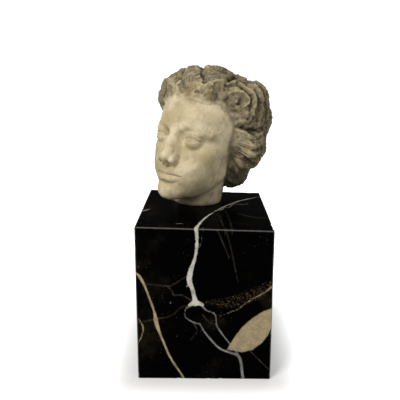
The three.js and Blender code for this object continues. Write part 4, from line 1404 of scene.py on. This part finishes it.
@dataclass(frozen=True)
class BlackMarble:
    """Polished black marble of the block, with white, grey and golden veins and a granular fossil."""

    grain: bpy.types.NodeTree
    ground: Colour = (0.0003, 0.0003, 0.0003)
    cloud: Colour = (0.009, 0.0072, 0.0045)
    white: Colour = (0.62, 0.60, 0.54)
    grey: Colour = (0.34, 0.33, 0.31)
    gold: Colour = (0.44, 0.37, 0.21)
    fossil: Colour = (0.44, 0.355, 0.215)
    fossil_dark: Colour = (0.21, 0.17, 0.105)
    rust: Colour = (0.17, 0.115, 0.06)
    hairline: Colour = (0.15, 0.125, 0.09)
    scuff_and_edge_highlight: Colour = (0.20, 0.19, 0.17)
    cloud_scale: float = 22.0
    grain_scale: float = 500.0
    wander_scale: float = 260.0
    wander_mm: float = 3.2
    flicker_scale: float = 130.0
    dust_scale: float = 300.0
    dust_cloud_scale: float = 40.0
    rust_scale: float = 520.0
    shell_scale: float = 800.0
    shell_cloud_scale: float = 110.0

    def shell(self, r: Recipe, point: Socket) -> Socket:
        """Colour of the fossil: fine grains, darker at its rim and in clouds."""
        grains = r.rise(r.noise(point, self.shell_scale, 3, 0.75), 0.3, 0.56)
        shell = r.blend(grains, self.fossil_dark, self.fossil)
        shell = r.blend(r.rise(r.attribute("fossil"), -3.0, -0.5, 0.35), shell, self.fossil_dark)
        clouds = r.rise(r.noise(point, self.shell_cloud_scale, 4, 0.7), 0.42, 0.62, 0.45)
        return r.blend(clouds, shell, self.fossil_dark)

    def material(self) -> bpy.types.Material:
        """Builds the finish."""
        made = bpy.data.materials.new("black_marble")
        r = Recipe.of(made)
        point = r.point()
        grain = r.node("ShaderNodeGroup", {"Point": point, "Cloud Scale": self.cloud_scale,
                                           "Grain Scale": self.grain_scale}, node_tree=self.grain).outputs
        uneven = r.math("SUBTRACT", r.noise(point, self.wander_scale, 5, 0.7), 0.5)
        wander = r.times(uneven, self.wander_mm)
        flicker = r.rise(r.noise(point, self.flicker_scale, 4, 0.7), 0.3, 0.62)

        def near(name: str, soft: float) -> Socket:
            """Mask of a marking, with its edge wandering and softened."""
            return r.rise(r.math("ADD", r.attribute(name), wander), soft, -soft)

        def vein(kind: VeinKind, soft: float, faintest: float, more: float) -> Socket:
            """Mask of a kind of vein, which flickers between two strengths."""
            return r.times(near(kind.value, soft), r.math("MULTIPLY_ADD", flicker, more, faintest))

        colour = r.blend(r.rise(grain["Clouds"], 0.52, 0.75), self.ground, self.cloud)
        dusty = r.rise(r.noise(point, self.dust_cloud_scale, 3, 0.6), 0.5, 0.65, 0.16)
        colour = r.blend(r.times(r.spots(point, self.dust_scale, 0.05, 0.14), dusty), colour, self.white)
        rusty = r.rise(r.noise(point, self.rust_scale, 3, 0.7), 0.52, 0.66, 0.8)
        colour = r.blend(r.times(near(R.value, 3.0), rusty), colour, self.rust)
        colour = r.blend(near("fossil", 0.8), colour, self.shell(r, point))
        colour = r.blend(vein(Y, 0.6, 0.4, 0.6), colour, self.gold)
        colour = r.blend(vein(G, 0.6, 0.35, 0.45), colour, self.grey)
        colour = r.blend(vein(H, 1.0, 0.1, 0.35), colour, self.hairline)
        colour = r.blend(vein(W, 0.5, 0.5, 0.5), colour, self.white)
        # Scuffed arrises with a painted highlight along them: lighter and rougher within about a millimetre
        # of each edge.
        arris = r.rise(r.math("MULTIPLY_ADD", wander, 0.3, r.attribute("arris")), 1.6, 0.4)
        colour = r.blend(r.times(arris, 0.5), colour, self.scuff_and_edge_highlight)
        rough = r.math("MULTIPLY_ADD", arris, 0.3, r.math("MULTIPLY_ADD", grain["Clouds"], 0.16, 0.22))
        r.finish({"Base Color": colour, "Roughness": rough, "Normal": r.bump(0.1, 0.0003, grain["Grain"]),
                  "Specular IOR Level": 0.012})
        return made


@dataclass(frozen=True)
class PaleFloor:
    """Matt pale floor that glows white for the camera, with a painted contact shadow close round the foot of
    the block, where it glows less.
    """

    colour: Colour = (0.62, 0.62, 0.62)
    glow: Colour = (1.0, 1.0, 1.0)
    glow_in_painted_shadow: float = 0.26
    painted_shadow_reach: float = 0.075
    foot: tuple[float, float] = (0.0765, 0.0825)

    def material(self) -> bpy.types.Material:
        """Builds the finish."""
        made = bpy.data.materials.new("pale_floor")
        r = Recipe.of(made)
        place = r.node("ShaderNodeVectorMath", {0: r.point()}, operation="ABSOLUTE").outputs["Vector"]
        along = r.node("ShaderNodeSeparateXYZ", {0: place}).outputs
        x, y = (r.math("MAXIMUM", r.math("SUBTRACT", a, half), 0.0) for a, half in zip(along, self.foot))
        away = r.math("SQRT", r.math("MULTIPLY_ADD", x, x, r.times(y, y)))
        # Painted contact shadow: the glow is least at the foot of the block and full beyond its reach.
        glow = r.math("ADD", self.glow_in_painted_shadow, r.rise(away, 0.0, self.painted_shadow_reach))
        seen = r.node("ShaderNodeLightPath").outputs["Is Camera Ray"]
        r.finish({"Base Color": self.colour, "Roughness": 0.8, "Specular IOR Level": 0.1,
                  "Emission Color": self.glow, "Emission Strength": r.times(seen, glow)})
        return made


@dataclass(frozen=True)
class Lamp:
    """A soft square lamp: its place, what it looks at and its side in metres, its power and its colour."""

    name: str
    at: Triple
    target: Triple
    side: float
    power: float
    colour: Colour

    def hang(self) -> None:
        """Adds the lamp to the scene."""
        data = bpy.data.lights.new(self.name, "AREA")
        data.shape, data.size = "SQUARE", self.side
        data.energy, data.color = self.power, self.colour
        lamp = bpy.data.objects.new(self.name, data)
        lamp.location = self.at
        lamp.rotation_euler = (Vector(self.target) - Vector(self.at)).to_track_quat("-Z", "Y").to_euler()
        bpy.context.scene.collection.objects.link(lamp)


@dataclass
class Studio:
    """Pale floor, soft lamps, pale surroundings and the camera."""

    eye: Triple = (0.00225, -0.58335, 0.3516)
    yaw: float = -0.79
    pitch: float = 15.24
    lens: float = 44.66
    sensor: float = 36.0
    nearest: float = 0.01
    floor_side: float = 60.0
    floor_depth: float = 0.02
    surround: Colour = (1.0, 1.0, 1.0)
    surround_seen: float = 1.1
    surround_light: float = 0.36
    surround_mirrored: float = 0.08
    lamps: tuple[Lamp, ...] = (
        Lamp("key", (-0.62, -0.85, 1.15), (0, 0.02, 0.27), 0.5, 15, (1.0, 0.97, 0.92)),
        Lamp("fill", (1.1, -0.8, 0.6), (0, 0, 0.2), 1.0, 2.1, (1.0, 0.93, 0.8)),
        Lamp("top", (0.2, 0.6, 1.3), (0, 0, 0.3), 0.8, 2.5, (1.0, 1.0, 1.0)),
    )

    def floor(self) -> None:
        """The floor, a thin square slab under the block, which hangs from no body and so is no part of the
        object.
        """
        h = self.floor_side / 2
        square = ((-h, -h), (h, -h), (h, h), (-h, h))
        corners = np.array([(x, y, z) for z in (-self.floor_depth, 0.0) for x, y in square])
        faces = [(3, 2, 1, 0), (4, 5, 6, 7), (0, 1, 5, 4), (1, 2, 6, 5), (2, 3, 7, 6), (3, 0, 4, 7)]
        piece = make_piece("pale_floor", corners, faces, smooth_faces=False)
        piece.data.materials.append(PaleFloor().material())

    def camera(self) -> None:
        """The camera, at the place and with the lens that give the photograph's view in a square frame."""
        data = bpy.data.cameras.new("view")
        data.sensor_fit, data.sensor_width, data.lens = "HORIZONTAL", self.sensor, self.lens
        data.clip_start = self.nearest
        camera = bpy.data.objects.new("view", data)
        yaw, pitch = math.radians(self.yaw), math.radians(self.pitch)
        forward = Vector((math.sin(yaw) * math.cos(pitch), math.cos(yaw) * math.cos(pitch), -math.sin(pitch)))
        camera.location = self.eye
        camera.rotation_euler = forward.to_track_quat("-Z", "Y").to_euler()
        bpy.context.scene.collection.objects.link(camera)
        bpy.context.scene.camera = camera

    def world(self) -> None:
        """Surroundings: white where the camera sees them, softer as light, darker still in reflections."""
        world = bpy.data.worlds.new("surroundings")
        r = Recipe.of(world)
        path = r.node("ShaderNodeLightPath").outputs
        lit, mirrored = self.surround_light, self.surround_mirrored
        strength = r.math("MULTIPLY_ADD", path["Is Camera Ray"], self.surround_seen - lit, lit)
        strength = r.math("MULTIPLY_ADD", path["Is Glossy Ray"], mirrored - lit, strength)
        back = r.node("ShaderNodeBackground", {"Color": self.surround, "Strength": strength}).outputs[0]
        r.node("ShaderNodeOutputWorld", {"Surface": back})
        bpy.context.scene.world = world

    def build(self) -> None:
        """Sets everything up."""
        self.floor()
        self.camera()
        self.world()
        for lamp in self.lamps:
            lamp.hang()


def settle(piece: bpy.types.Object, node: str, finish: bpy.types.Material) -> None:
    """Gives a piece its finish and its place in the frame.

    Args:
        piece: The object.
        node: The solid that it stands for.
        finish: Its material.
    """
    piece.data.materials.append(finish)
    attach(piece, "root")
    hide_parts(node)
    LOG.info("%s: %d vertices, %d faces", piece.name, len(piece.data.vertices), len(piece.data.polygons))


def main() -> None:
    """Builds the head, the block and the studio."""
    logging.basicConfig(level=logging.INFO, format="%(name)s: %(message)s")
    grain = stone_grain()
    settle(MarbleHead().build(), "marble_head", AgedMarble(grain).material())
    settle(StoneBlock().build(), "base_block", BlackMarble(grain).material())
    Studio().build()
    bpy.context.scene.view_settings.view_transform = "Standard"


if __name__ == "__main__":
    main()
